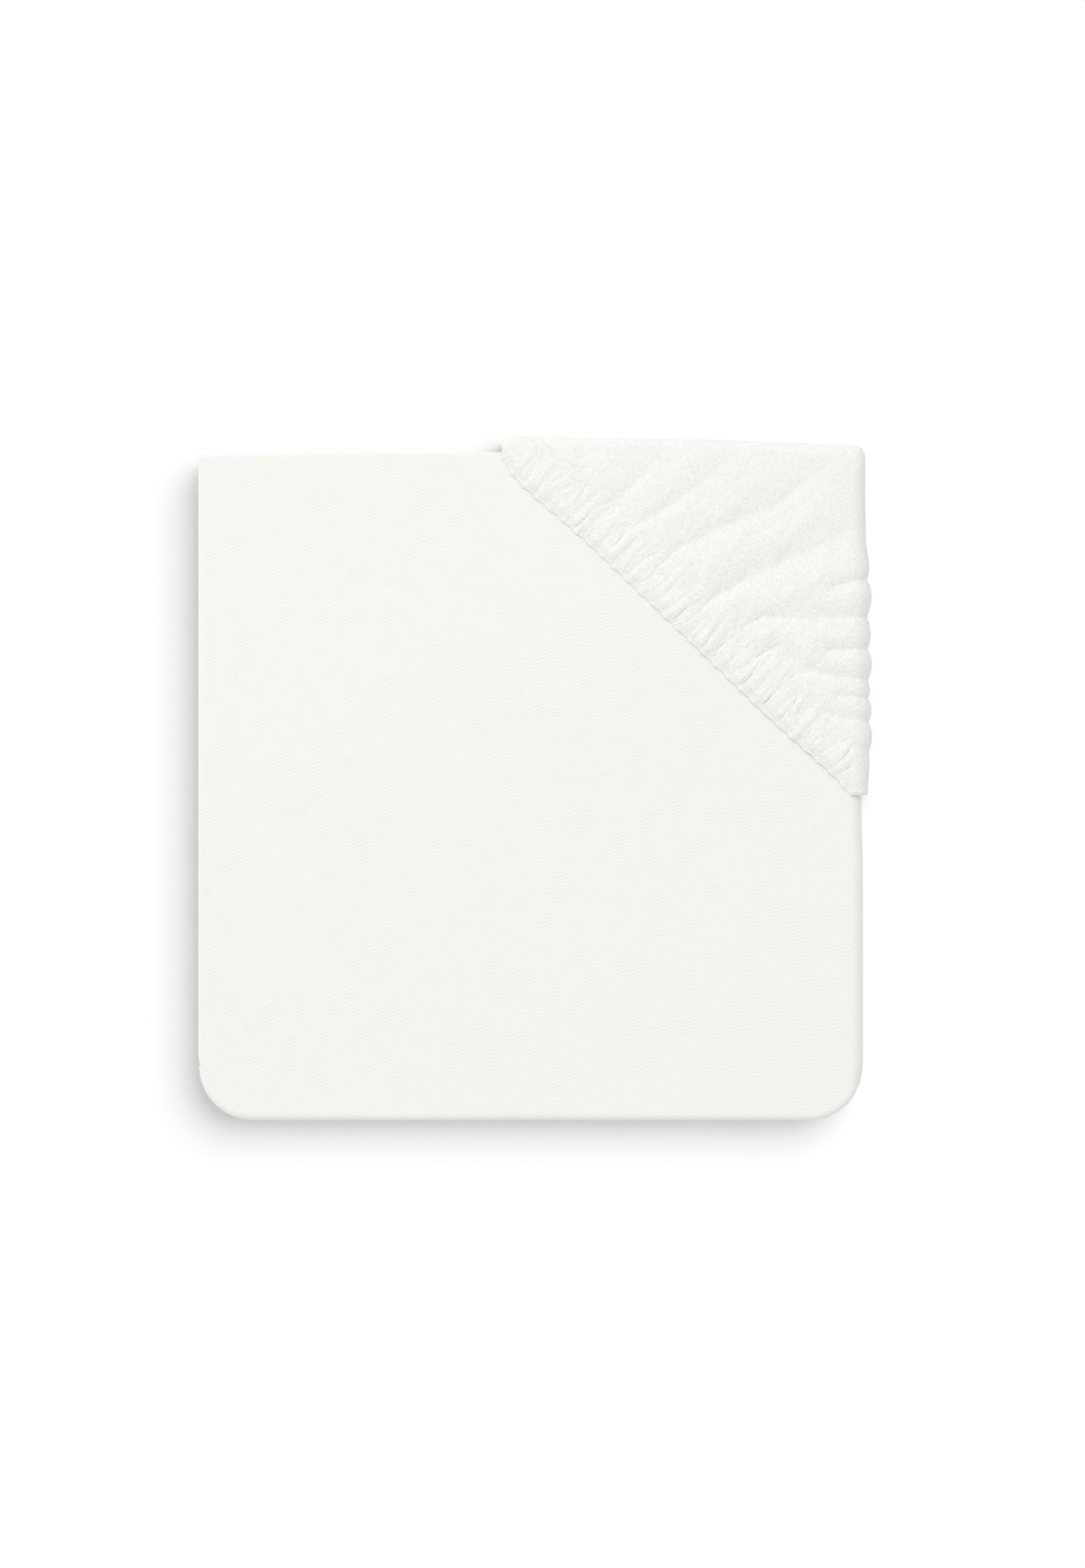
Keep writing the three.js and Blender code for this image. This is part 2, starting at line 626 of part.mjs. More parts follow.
// Row positions along a column; rows above a low hem close up towards it.
function rowStops(path, casing) {
  const hemStart = path.length - Math.min(casing, SHORT_HEM + 0.6 * path.flapLength);
  const flapFrom = Math.min(path.bendEnd, hemStart - FLAP_ROWS * LEAST_ROW);
  const bendFrom = Math.min(path.wallEnd, flapFrom - BEND_ROWS * LEAST_ROW);
  const wallFrom = Math.min(path.baseEnd, bendFrom - WALL_ROWS * LEAST_ROW);
  const joinTo = Math.min(path.joinLength, wallFrom - BASE_ROWS * LEAST_ROW);
  return [
    ...evenSteps(0, joinTo, JOIN_ROWS).slice(0, -1),
    ...evenSteps(joinTo, wallFrom, BASE_ROWS).slice(0, -1),
    ...evenSteps(wallFrom, bendFrom, WALL_ROWS).slice(0, -1),
    ...evenSteps(bendFrom, flapFrom, BEND_ROWS).slice(0, -1),
    ...evenSteps(flapFrom, hemStart, FLAP_ROWS),
    ...evenSteps(hemStart, path.length, HEM_ROWS).slice(1),
  ];
}

function pocketPoint(column, path, s, casing) {
  const spot = path.at(s);
  const fromHem = path.length - s;
  const inCasing = clamp01(fromHem / casing);
  const puff = CASING_PUFF * Math.pow(Math.sin(Math.PI * inCasing), 0.7) * (1 - 0.7 * column.down);
  const stand = smooth(CLOTH, CLOTH * 3.5, spot.z);
  const full = mix(JOIN_THICKNESS, CLOTH, smooth(CLOTH * 0.6, CLOTH * 1.2, spot.z)) + puff * stand;
  const loose = 1 - END_TIGHTNESS * column.down;
  const fold = loose * (relief(spot.x, spot.y, fromHem) + pleatHeight(column.pleat, fromHem));
  const shift = fold * stand + (puff * stand) / 2;
  const place = new THREE.Vector3(spot.x, spot.y, spot.z);
  place.addScaledVector(new THREE.Vector3(...spot.face), shift);
  return { place, half: full / 2 };
}

function halfwayColumn(a, b) {
  const between = (p, q) => [mix(p[0], q[0], 0.5), mix(p[1], q[1], 0.5)];
  const out = between(a.out, b.out);
  const size = Math.hypot(out[0], out[1]);
  return {
    wall: between(a.wall, b.wall),
    out: [out[0] / size, out[1] / size],
    bend: mix(a.bend, b.bend, 0.5),
    join: between(a.join, b.join),
    down: mix(a.down, b.down, 0.5),
    pleat: mix(a.pleat, b.pleat, 0.5),
  };
}

function cornerPocket() {
  const columns = wallColumns();
  const fine = columns.flatMap((column, i) => {
    const next = columns[i + 1];
    return next ? [column, halfwayColumn(column, next)] : [column];
  });
  const coarseRows = JOIN_ROWS + BASE_ROWS + WALL_ROWS + BEND_ROWS + FLAP_ROWS + 1;
  const rows = [];
  const halves = [];
  for (let r = 0; r < coarseRows + HEM_ROWS; r += 1) {
    const set = r < coarseRows ? columns : fine;
    const points = set.map((column) => {
      const casing = mix(CASING_WIDE_AT_BACK, CASING_WIDE_AT_FRONT, clamp01(column.pleat / TOP_COLUMNS));
      const path = columnPath(column);
      return pocketPoint(column, path, rowStops(path, casing)[r], casing);
    });
    rows.push(points.map((p) => p.place));
    halves.push(points.map((p) => p.half));
  }
  return thicken(rows, halves);
}

const wasm = await Module();
wasm.setup();

function toSolid({ corners, faces }) {
  const vertProperties = new Float32Array(corners.flatMap((p) => [p.x, p.y, p.z]));
  const triVerts = new Uint32Array(faces.flat());
  const mesh = new wasm.Mesh({ numProp: 3, vertProperties, triVerts });
  mesh.merge();
  return new wasm.Manifold(mesh);
}

const joined = toSolid(foldedStack()).add(toSolid(cornerPocket()));
const result = joined.getMesh();

// The middle of the outline comes to the origin and the cloth rests on its underside.
const places = new Float32Array(result.vertProperties);
for (let i = 0; i < places.length; i += 3) {
  places[i + 2] += footRise(places[i], places[i + 1]);
}
const geometry = new THREE.BufferGeometry();
geometry.setAttribute("position", new THREE.BufferAttribute(places, 3));
geometry.setIndex(new THREE.BufferAttribute(new Uint32Array(result.triVerts), 1));
geometry.computeBoundingBox();
const middle = geometry.boundingBox.getCenter(new THREE.Vector3());
geometry.translate(-middle.x, -middle.y, -geometry.boundingBox.min.z);

const cover = new THREE.Mesh(geometry, new THREE.MeshStandardMaterial({ color: SOFT_WHITE, roughness: 0.95 }));
cover.name = "cover";

const group = new THREE.Group();
group.name = "folded_changing_pad_cover";
group.add(cover);

export default group;
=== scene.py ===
"""Folded changing pad cover: one panel of soft white cloth, folded flat, with a gathered corner pocket."""
import math

import bpy
import numpy as np
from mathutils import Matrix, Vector


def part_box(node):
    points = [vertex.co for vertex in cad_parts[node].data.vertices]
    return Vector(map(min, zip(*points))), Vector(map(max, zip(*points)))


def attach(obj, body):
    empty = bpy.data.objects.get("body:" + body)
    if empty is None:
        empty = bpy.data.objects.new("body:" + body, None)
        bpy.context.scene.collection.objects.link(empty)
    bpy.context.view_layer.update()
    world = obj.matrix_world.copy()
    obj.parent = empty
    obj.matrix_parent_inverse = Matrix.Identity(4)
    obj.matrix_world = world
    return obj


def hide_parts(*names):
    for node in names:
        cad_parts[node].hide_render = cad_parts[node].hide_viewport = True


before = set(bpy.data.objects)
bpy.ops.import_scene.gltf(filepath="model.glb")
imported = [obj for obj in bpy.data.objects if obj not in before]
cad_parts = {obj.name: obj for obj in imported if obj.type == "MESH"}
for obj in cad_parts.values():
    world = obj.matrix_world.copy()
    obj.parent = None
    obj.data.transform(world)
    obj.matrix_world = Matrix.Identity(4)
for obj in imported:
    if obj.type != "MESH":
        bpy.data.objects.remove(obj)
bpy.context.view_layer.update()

# Folded stack.
# The cover is one panel of brushed cloth. It is folded in half with the fold at the front, then in thirds
# from side to side, so six layers lie on each other. Sizes here are millimetres from the stack's middle,
# and turn into metres when a mesh is made.
MM = 0.001
WIDTH = 294.4
DEPTH = 295.6
CORNER_RADIUS = 24.0
CLOTH = 2.5
LAYER_GAP = 0.5
PITCH = CLOTH + LAYER_GAP
TOP_LAYER = 5

# Folds: the doubled cloth turns back at the front, and rolls up from one pass to the next at the sides.
FOLD_RADIUS = PITCH / 2
TURN_RADIUS = PITCH
FOLD_REACH = FOLD_RADIUS + CLOTH / 2
TURN_REACH = TURN_RADIUS + FOLD_REACH
HALF_TURN = math.pi / 2 * TURN_RADIUS
LEFT_TURN_INSET = 0.8
FREE_END_INSET = 1.2

# Front corners: the front fold climbs at each turn, and flattens towards the end of a free corner.
CLIMB = 1.3
CLIMB_POWER = 1.3
CLIMB_RUN = CORNER_RADIUS - TURN_REACH
FREE_PINCH = 0.6
FREE_PINCH_POWER = 6
CORNER_TUCK = 1.2
CORNER_TUCK_FROM_Y = -120.0
CORNER_TUCK_FULL_Y = -138.0
TUCK_FROM_X = 95.0
TUCK_FULL_X = 138.0

# Passes of the doubled cloth. Each says how far inside the outline its two layers end at the back, and its
# fold lies at the front.
PASSES = (
    {"name": "bottom", "back": (0.8, 2.0), "front": 0.6},
    {"name": "middle", "back": (3.2, 2.4), "front": 1.5},
    {"name": "top", "back": (1.2, 0.0), "front": 0.0},
)

# Back edges: they slant from left to right, wave a little, and are tucked in under the pocket.
BACK_SLANT = 0.0098
BACK_SLANT_FROM_X = -60.0
BACK_SLANT_TO_X = 20.0
BACK_TUCK = 2.2
BACK_TUCK_FULL_X = 120.0
BACK_WAVE = 0.35
BACK_WAVE_LENGTH = 19.0
BACK_WAVE_PER_PASS = 2.1
BACK_WAVE_PER_LAYER = 1.4

# Right side: the elastic of the pocket draws it in towards the back.
POCKET_TUCK = 1.5
POCKET_TUCK_POWER = 1.6
HEM_TUCK = 0.9
HEM_TUCK_FROM_Y = -40.0

# Underside: flat in the middle, and lifted a little towards its borders.
REST_X = 84.0
REST_BORDER = 30.0
REST_Y = DEPTH / 2 - REST_BORDER
FOOT_RISE = 0.4
FOOT_RISE_POWER = 1.5

# Looseness: the share by which the layers rise, at the folds and in a slow wave over the whole stack.
REST_LIFT = 0.02
FRONT_LIFT = 0.07
SIDE_LIFT = 0.05
LIFT_SPREAD = 22.0
WAVE_LIFT = 0.014
WAVE_X_LENGTH = 37.0
WAVE_X_START = 1.3
WAVE_Y_LENGTH = 43.0
WAVE_Y_START = -0.7

# Mesh: stations along the doubled cloth, rows across it, and the rounding of its cut edges.
RUN_STEPS = 30
CORNER_STEPS = 10
FREE_CORNER_STEPS = 22
FREE_CORNER_END = 2.0
TURN_STEPS = 18
FOLD_STEPS = 14
NEAR_ROWS = 18
NEAR_ROW_CROWDING = 1.2
MIDDLE_ROWS = 12
BACK_ROWS = 4
LAST_ROW_INSET = 2.5
EDGE_ROUNDING = (1.25, 0.75, 0.35, 0.1, 0.0)
THINNEST_HALF = 0.22
LEAST_LENGTH = 1e-9
ARC_STOPS = 21
ARC_WINDOW = 0.8
ARC_HOLD_POWER = 3

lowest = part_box("cover")[0]
STACK_MIDDLE = np.array([lowest.x + WIDTH / 2 * MM, lowest.y + DEPTH / 2 * MM, 0.0])


def mix(a, b, t):
    """The value at a share of the way from one value to another."""
    return a + (b - a) * t


def smooth(low, high, value):
    """A share that eases from 0 at one value to 1 at another."""
    t = np.clip((value - low) / (high - low), 0.0, 1.0)
    return t * t * (3 - 2 * t)


def lift(x, y):
    """Share by which the layers above the bottom one rise: fuller at the front fold and the side folds."""
    front = FRONT_LIFT * np.exp(np.minimum(0, -(y + DEPTH / 2) / LIFT_SPREAD))
    right = SIDE_LIFT * np.exp(np.minimum(0, -(WIDTH / 2 - x) / LIFT_SPREAD))
    left = SIDE_LIFT * np.exp(np.minimum(0, -(WIDTH / 2 + x) / LIFT_SPREAD))
    wave = WAVE_LIFT * np.sin(x / WAVE_X_LENGTH + WAVE_X_START)
    wave = wave * np.cos(y / WAVE_Y_LENGTH + WAVE_Y_START)
    return REST_LIFT + front + right + left + wave


def raised(x, y, z):
    """Height of a point of the tight stack once the layers lie loose."""
    return CLOTH / 2 + (z - CLOTH / 2) * (1 + lift(x, y))


def foot_rise(x, y):
    """The middle of the underside lies flat, and the cloth lifts a little towards its borders."""
    sideways = np.maximum(0, np.abs(x) - REST_X) / (WIDTH / 2 - REST_X)
    lengthways = np.maximum(0, np.abs(y) - REST_Y) / (DEPTH / 2 - REST_Y)
    return FOOT_RISE * np.hypot(sideways, lengthways) ** FOOT_RISE_POWER


def stack_top(x, y):
    """Height of the upper face of the stack."""
    return raised(x, y, CLOTH / 2 + TOP_LAYER * PITCH) + CLOTH / 2


def pocket_tuck(y):
    """How far the pocket draws the right side in."""
    hem = HEM_TUCK * smooth(HEM_TUCK_FROM_Y, 0.0, y)
    return hem + POCKET_TUCK * np.clip(y / (DEPTH / 2), 0, 1) ** POCKET_TUCK_POWER


def shaped_x(x, y):
    """Draws in the front corners, and the right side where the elastic pocket holds it."""
    side = smooth(TUCK_FROM_X, TUCK_FULL_X, np.abs(x))
    corner = CORNER_TUCK * side * smooth(CORNER_TUCK_FROM_Y, CORNER_TUCK_FULL_Y, y) * np.sign(x)
    pocket = np.where(x > 0, pocket_tuck(y) * side, 0.0)
    return x - corner - pocket


def climb_near_turn(distance):
    """Rise and slope of the front fold at a distance along the cloth from the tip of a turn."""
    if distance >= HALF_TURN + CLIMB_RUN:
        return 0.0, 0.0
    if distance >= HALF_TURN:
        t = (HALF_TURN + CLIMB_RUN - distance) / CLIMB_RUN
        return CLIMB_RUN * CLIMB * t ** (CLIMB_POWER + 1) / (CLIMB_POWER + 1), CLIMB * t**CLIMB_POWER
    inside = HALF_TURN - distance
    start = CLIMB_RUN * CLIMB / (CLIMB_POWER + 1)
    return start + CLIMB * inside - CLIMB * inside**2 / (2 * HALF_TURN), CLIMB * (1 - inside / HALF_TURN)


def front_y(which):
    """Where the front fold of one pass begins to bend."""
    return -DEPTH / 2 + FOLD_REACH + PASSES[which]["front"]


def pass_z(which):
    """Height of the middle of one pass in the tight stack."""
    return CLOTH / 2 + FOLD_RADIUS + which * 2 * PITCH


def flat_stations(which, heading, xs, tips):
    """Stations along a flat pass; the front fold climbs near each turn."""
    stations = []
    for x in xs:
        rise, slope, towards = 0.0, 0.0, 0.0
        for tip in tips:
            new_rise, new_slope = climb_near_turn(abs(tip - x) + HALF_TURN)
            if new_rise > rise:
                rise, slope, towards = new_rise, new_slope, math.copysign(1, tip - x) * heading
        length = math.hypot(1, slope)
        stations.append({
            "pass": which, "share": 0.0, "x": x, "z": pass_z(which), "end": CLOTH, "full": 1.0,
            "tangent": (heading, 0.0), "normal": (0.0, -1.0 if which == 1 else 1.0),
            "edge": front_y(which) + rise, "out": (towards * slope / length, -1 / length), "back_x": x,
        })
    return stations


def free_end_stations(which, side, heading, end_x):
    """Stations round a free corner: the fold follows the arc and flattens, and the cut edge takes over."""
    centre_x = end_x - side * CORNER_RADIUS
    centre_y = front_y(which) + CORNER_RADIUS - FOLD_REACH
    shares = [i / FREE_CORNER_STEPS for i in range(1, FREE_CORNER_STEPS)]
    shares = [t for t in shares if t < 1 - FREE_CORNER_END / CORNER_RADIUS]
    shares += [1 - inset / CORNER_RADIUS for inset in EDGE_ROUNDING]
    stations = []
    for t in shares:
        angle = math.pi / 2 * t
        end = (1 - t) * CORNER_RADIUS
        full = 1 - FREE_PINCH * t**FREE_PINCH_POWER
        radius = CORNER_RADIUS - FOLD_RADIUS * full - min(float(rounded(end)), CLOTH / 2 * full)
        stations.append({
            "pass": which, "share": 0.0, "x": centre_x + side * radius * math.sin(angle),
            "z": pass_z(which), "end": end, "full": full,
            "tangent": (heading, 0.0), "normal": (0.0, 1.0),
            "edge": centre_y - radius * math.cos(angle),
            "out": (math.sin(angle) * side * heading, -math.cos(angle)),
            "back_x": mix(centre_x, end_x, t),
        })
    return stations


def turn_stations(which, side, tip):
    """Stations round a side fold, where the doubled cloth rolls up from one pass to the next."""
    facing = 1 if which == 0 else -1
    stations = []
    for i in range(1, TURN_STEPS):
        angle = math.pi * i / TURN_STEPS
        rise, slope = climb_near_turn(abs(angle - math.pi / 2) * TURN_RADIUS)
        slope = slope if angle < math.pi / 2 else -slope
        length = math.hypot(1, slope)
        x = tip + side * TURN_RADIUS * math.sin(angle)
        stations.append({
            "pass": which, "share": i / TURN_STEPS, "x": x, "end": CLOTH, "full": 1.0,
            "z": pass_z(which) + TURN_RADIUS * (1 - math.cos(angle)),
            "tangent": (side * math.cos(angle), math.sin(angle)),
            "normal": (-side * math.sin(angle) * facing, math.cos(angle) * facing),
            "edge": mix(front_y(which), front_y(which + 1), i / TURN_STEPS) + rise,
            "out": (slope / length, -1 / length), "back_x": x,
        })
    return stations


def stack_stations():
    """Every station along the doubled cloth, from its free end at the bottom right to the one on top."""
    right_tip = WIDTH / 2 - TURN_REACH
    left_tip = -WIDTH / 2 + LEFT_TURN_INSET + TURN_REACH
    right_arc = right_tip - CLIMB_RUN
    left_arc = left_tip + CLIMB_RUN
    low_end = WIDTH / 2 - FREE_END_INSET
    to_left = np.linspace(left_arc, left_tip, CORNER_STEPS + 1)[1:]
    to_right = np.linspace(right_arc, right_tip, CORNER_STEPS + 1)[1:]
    bottom = [*np.linspace(low_end - CORNER_RADIUS, left_arc, RUN_STEPS + 1), *to_left]
    middle = [*to_left[::-1], *np.linspace(left_arc, right_arc, RUN_STEPS + 1), *to_right]
    top = [*to_right[::-1], *np.linspace(right_arc, -WIDTH / 2 + CORNER_RADIUS, RUN_STEPS + 1)]
    return [
        *free_end_stations(0, 1, -1, low_end)[::-1],
        *flat_stations(0, -1, bottom, [left_tip]),
        *turn_stations(0, -1, left_tip),
        *flat_stations(1, 1, middle, [left_tip, right_tip]),
        *turn_stations(1, 1, right_tip),
        *flat_stations(2, -1, top, [right_tip]),
        *free_end_stations(2, -1, -1, -WIDTH / 2),
    ]


def back_y(at, layer):
    """Where one layer of the doubled cloth ends at the back."""
    here = PASSES[at["pass"]]["back"][layer]
    following = PASSES[min(at["pass"] + 1, len(PASSES) - 1)]["back"][layer]
    inset = mix(here, following, smooth(0, 1, at["share"]))
    slant = BACK_SLANT * (min(at["back_x"], BACK_SLANT_TO_X) - BACK_SLANT_FROM_X)
    turn = at["back_x"] / BACK_WAVE_LENGTH + BACK_WAVE_PER_PASS * at["pass"] + BACK_WAVE_PER_LAYER * layer
    tuck = BACK_TUCK * smooth(BACK_SLANT_TO_X, BACK_TUCK_FULL_X, at["back_x"])
    return DEPTH / 2 - inset + slant + BACK_WAVE * math.sin(turn) - tuck


def rounded(distance):
    """Half the cloth's thickness at a distance from a cut edge, which is worn soft and round."""
    reach = CLOTH / 2
    away = np.clip(reach - distance, 0, reach)
    return np.maximum(np.sqrt(reach**2 - away**2), THINNEST_HALF)


def layer_stops(at, layer):
    """Row positions of one layer from its front fold to its back edge, and their distance from that edge."""
    back = back_y(at, layer)
    near = at["edge"] - (REST_Y + at["edge"]) * np.linspace(0, 1, NEAR_ROWS) ** NEAR_ROW_CROWDING
    far = np.linspace(-REST_Y, REST_Y, MIDDLE_ROWS)[1:]
    last = np.linspace(REST_Y, back - LAST_ROW_INSET, BACK_ROWS)[1:]
    ys = np.array([*near, *far, *last, *(back - inset for inset in EDGE_ROUNDING)])
    return ys, back - ys


def station_section(at):
    """Middle of the cloth and its half thickness across one station."""
    edge, out = at["edge"], at["out"]
    end_half = float(rounded(at["end"]))
    sections = []
    for layer in (0, 1):
        offset = FOLD_RADIUS * (-1 if layer == 0 else 1)
        y, inset = layer_stops(at, layer)
        t = np.clip((y - edge) / (-REST_Y - edge), 0, 1)
        x = mix(at["x"], at["back_x"], t * (2 - t)) + at["normal"][0] * offset
        z = np.full_like(y, at["z"] + at["normal"][1] * offset)
        flattened = CLOTH / 2 * mix(at["full"], 1.0, smooth(0, CLOTH, y - edge))
        half = np.minimum(np.minimum(rounded(inset), end_half), flattened)
        sections.append([x, y, z, half])
    angle = np.linspace(-math.pi / 2, math.pi / 2, FOLD_STEPS + 1)[1:-1]
    along = FOLD_RADIUS * at["full"] * np.cos(angle)
    up = FOLD_RADIUS * np.sin(angle)
    fold = [
        at["x"] + at["normal"][0] * up + at["tangent"][0] * out[0] * along,
        edge + out[1] * along,
        at["z"] + at["normal"][1] * up + at["tangent"][1] * out[0] * along,
        np.full_like(up, min(end_half, CLOTH / 2 * at["full"])),
    ]
    first = [column[::-1] for column in sections[0]]
    x, y, z, half = (np.concatenate(part) for part in zip(first, fold, sections[1]))
    new_x = shaped_x(x, y)
    return np.column_stack([new_x, y, raised(new_x, y, z)]), half


def thick_cloth(rows, halves):
    """Corners and faces of a sheet: two skins along the normals of its middle surface, and a rim."""
    count, width = len(rows), len(rows[0])
    points = np.array(rows).reshape(-1, 3)
    half = np.array(halves).reshape(-1, 1)
    grid = points.reshape(count, width, 3)
    along = np.gradient(grid, axis=0)
    across = np.gradient(grid, axis=1)
    normal = np.cross(across, along).reshape(-1, 3)
    normal /= np.maximum(np.linalg.norm(normal, axis=1, keepdims=True), LEAST_LENGTH)
    corners = np.vstack([points + normal * half, points - normal * half])
    index = np.arange(count * width).reshape(count, width)
    a, b = index[:-1, :-1].ravel(), index[:-1, 1:].ravel()
    c, d = index[1:, 1:].ravel(), index[1:, :-1].ravel()
    size = count * width
    upper = np.column_stack([a, b, c, d])
    lower = np.column_stack([a, d, c, b]) + size
    border = np.concatenate([index[0, :], index[1:, -1], index[-1, -2::-1], index[-2::-1, 0]])
    start, end = border[:-1], border[1:]
    rim = np.column_stack([start, start + size, end + size, end])
    return corners, np.vstack([upper, lower, rim])


def round_corners(corners, xs):
    """Draws the front corner of each pass out to a true arc, most at its outline."""
    width = len(corners) // (2 * len(xs))
    station = np.tile(np.repeat(np.arange(len(xs)), width), 2)
    sides = np.where(xs > 0, 1, -1)
    group = np.concatenate([[0], np.cumsum(np.diff(sides) != 0)])
    stops = np.linspace(0, math.pi / 2, ARC_STOPS)
    for number in range(group[-1] + 1):
        side = sides[group == number][0]
        middle = np.array([side * (WIDTH / 2 - CORNER_RADIUS), -DEPTH / 2 + CORNER_RADIUS])
        away = (corners[:, :2] - middle) * (side, -1)
        picked = np.flatnonzero((group[station] == number) & (away > 0).all(axis=1))
        away = away[picked]
        radius, angle = np.hypot(away[:, 0], away[:, 1]), np.arctan2(away[:, 0], away[:, 1])
        outline = [radius[np.abs(angle - stop) <= stops[1] * ARC_WINDOW].max() for stop in stops]
        reach = np.interp(angle, stops, outline)
        wanted = mix(outline[0], outline[-1], angle / stops[-1])
        factor = 1 + (wanted / reach - 1) * np.minimum(radius / reach, 1) ** ARC_HOLD_POWER
        corners[picked, :2] = middle + away * factor[:, None] * (side, -1)


def cloth_object(name, corners, faces):
    """A smooth mesh from millimetre points about the stack's middle."""
    corners[:, 2] += foot_rise(corners[:, 0], corners[:, 1])
    mesh = bpy.data.meshes.new(name)
    mesh.from_pydata((corners * MM + STACK_MIDDLE).tolist(), [], faces.tolist())
    mesh.update()
    mesh.shade_smooth()
    made = bpy.data.objects.new(name, mesh)
    bpy.context.collection.objects.link(made)
    return made


# Outer face of the cloth: a fine ribbed knit, brushed soft, in a warm white. The ribs climb to the right,
# less steeply towards the right, and break up into dashes where the brushing has worn them. Patterns are
# sized in metres, and a scale is the number of a pattern's spots in a metre.
FACE_COLOUR = (0.881, 0.871, 0.8355)
FACE_ROUGHNESS = 0.92
RIB_PITCH = 0.00159
RIB_RELIEF = 0.000075
RIB_SLOPE = 0.25
RIB_BOW = -0.265
RIB_DOWN_EDGE = 0.8
RIB_DRIFT = 0.0045
DRIFT_SCALE = 28.0
RIB_TREMBLE = 0.0014
TREMBLE_SCALE = 210.0
PATCH_SCALE = 24.0
PATCH_CONTRAST = 2.2
PATCH_OFFSET = -0.55
PATCH_SHARE = 0.3
DASH_SCALE = 150.0
DASH_CONTRAST = 2.0
DASH_OFFSET = -0.4
NAP_SCALE = 900.0
NAP_SHARE = 0.3
SPECULAR = 0.2
SHEEN = 0.1
SHEEN_ROUGHNESS = 0.6
TONE_SCALE = 9.0
TONE_RANGE = 0.02

# Detail of the soft noise in the patterns.
COARSE = 1.0
PLAIN = 2.0
FINE = 3.0
FINEST = 4.0


def add_node(tree, kind, **settings):
    """A new node of one kind with its settings."""
    node = tree.nodes.new(kind)
    for key, value in settings.items():
        setattr(node, key, value)
    return node


def new_group(name, inputs, outputs):
    """An empty shader node group with named sockets, and its two end nodes."""
    group = bpy.data.node_groups.new(name, "ShaderNodeTree")
    for label, kind, value in inputs:
        socket = group.interface.new_socket(label, in_out="INPUT", socket_type=kind)
        if value is not None:
            socket.default_value = value
    for label, kind in outputs:
        group.interface.new_socket(label, in_out="OUTPUT", socket_type=kind)
    return group, group.nodes.new("NodeGroupInput"), group.nodes.new("NodeGroupOutput")


def math_node(tree, operation, a, b=None, c=None):
    """Result of one operation on numbers or sockets."""
    node = add_node(tree, "ShaderNodeMath", operation=operation)
    for socket, value in zip(node.inputs, (a, b, c)):
        if value is None:
            continue
        if isinstance(value, (int, float)):
            socket.default_value = value
        else:
            tree.links.new(value, socket)
    return node.outputs[0]


def noise(tree, vector, scale, detail=PLAIN):
    """Soft noise between 0 and 1."""
    node = add_node(tree, "ShaderNodeTexNoise")
    node.inputs["Scale"].default_value = scale
    node.inputs["Detail"].default_value = detail
    tree.links.new(vector, node.inputs["Vector"])
    return node.outputs["Fac"]


def clamped(tree, value):
    """A value kept between 0 and 1."""
    node = add_node(tree, "ShaderNodeClamp")
    tree.links.new(value, node.inputs["Value"])
    return node.outputs[0]


def fine_ribs():
    """Node group with the height of the ribs, worn in patches and dashes, and of the nap over them."""
    group, given, result = new_group(
        "fine_ribs",
        [("Vector", "NodeSocketVector", None), ("Pitch", "NodeSocketFloat", RIB_PITCH)],
        [("Height", "NodeSocketFloat")],
    )
    vector = given.outputs["Vector"]
    split = add_node(group, "ShaderNodeSeparateXYZ")
    group.links.new(vector, split.inputs[0])
    x, y, z = split.outputs
    bow = math_node(group, "MULTIPLY", math_node(group, "MULTIPLY", x, x), RIB_BOW)
    across = math_node(group, "SUBTRACT", math_node(group, "MULTIPLY_ADD", x, -RIB_SLOPE, y), bow)
    across = math_node(group, "MULTIPLY_ADD", z, RIB_DOWN_EDGE, across)
    drift = noise(group, vector, DRIFT_SCALE, FINE)
    across = math_node(group, "MULTIPLY_ADD", drift, RIB_DRIFT, across)
    across = math_node(group, "MULTIPLY_ADD", noise(group, vector, TREMBLE_SCALE), RIB_TREMBLE, across)
    count = math_node(group, "DIVIDE", across, given.outputs["Pitch"])
    rib = math_node(group, "SINE", math_node(group, "MULTIPLY", count, 2 * math.pi))
    patches = noise(group, vector, PATCH_SCALE)
    patches = clamped(group, math_node(group, "MULTIPLY_ADD", patches, PATCH_CONTRAST, PATCH_OFFSET))
    dashes = noise(group, vector, DASH_SCALE)
    dashes = clamped(group, math_node(group, "MULTIPLY_ADD", dashes, DASH_CONTRAST, DASH_OFFSET))
    share = math_node(group, "MULTIPLY_ADD", patches, PATCH_SHARE, 1 - PATCH_SHARE)
    share = math_node(group, "MULTIPLY", share, dashes)
    nap = math_node(group, "MULTIPLY", noise(group, vector, NAP_SCALE, COARSE), NAP_SHARE)
    height = math_node(group, "MULTIPLY_ADD", rib, share, nap)
    group.links.new(height, result.inputs["Height"])
    return group


def uneven_tone():
    """Node group that makes a colour a little uneven, as both sides of the cloth are."""
    group, given, result = new_group(
        "uneven_tone",
        [("Vector", "NodeSocketVector", None), ("Colour", "NodeSocketColor", None)],
        [("Colour", "NodeSocketColor")],
    )
    shade = noise(group, given.outputs["Vector"], TONE_SCALE, FINEST)
    shade = math_node(group, "MULTIPLY_ADD", shade, TONE_RANGE, 1 - TONE_RANGE / 2)
    toned = add_node(group, "ShaderNodeVectorMath", operation="SCALE")
    group.links.new(given.outputs["Colour"], toned.inputs[0])
    group.links.new(shade, toned.inputs["Scale"])
    group.links.new(toned.outputs[0], result.inputs["Colour"])
    return group


tone = uneven_tone()


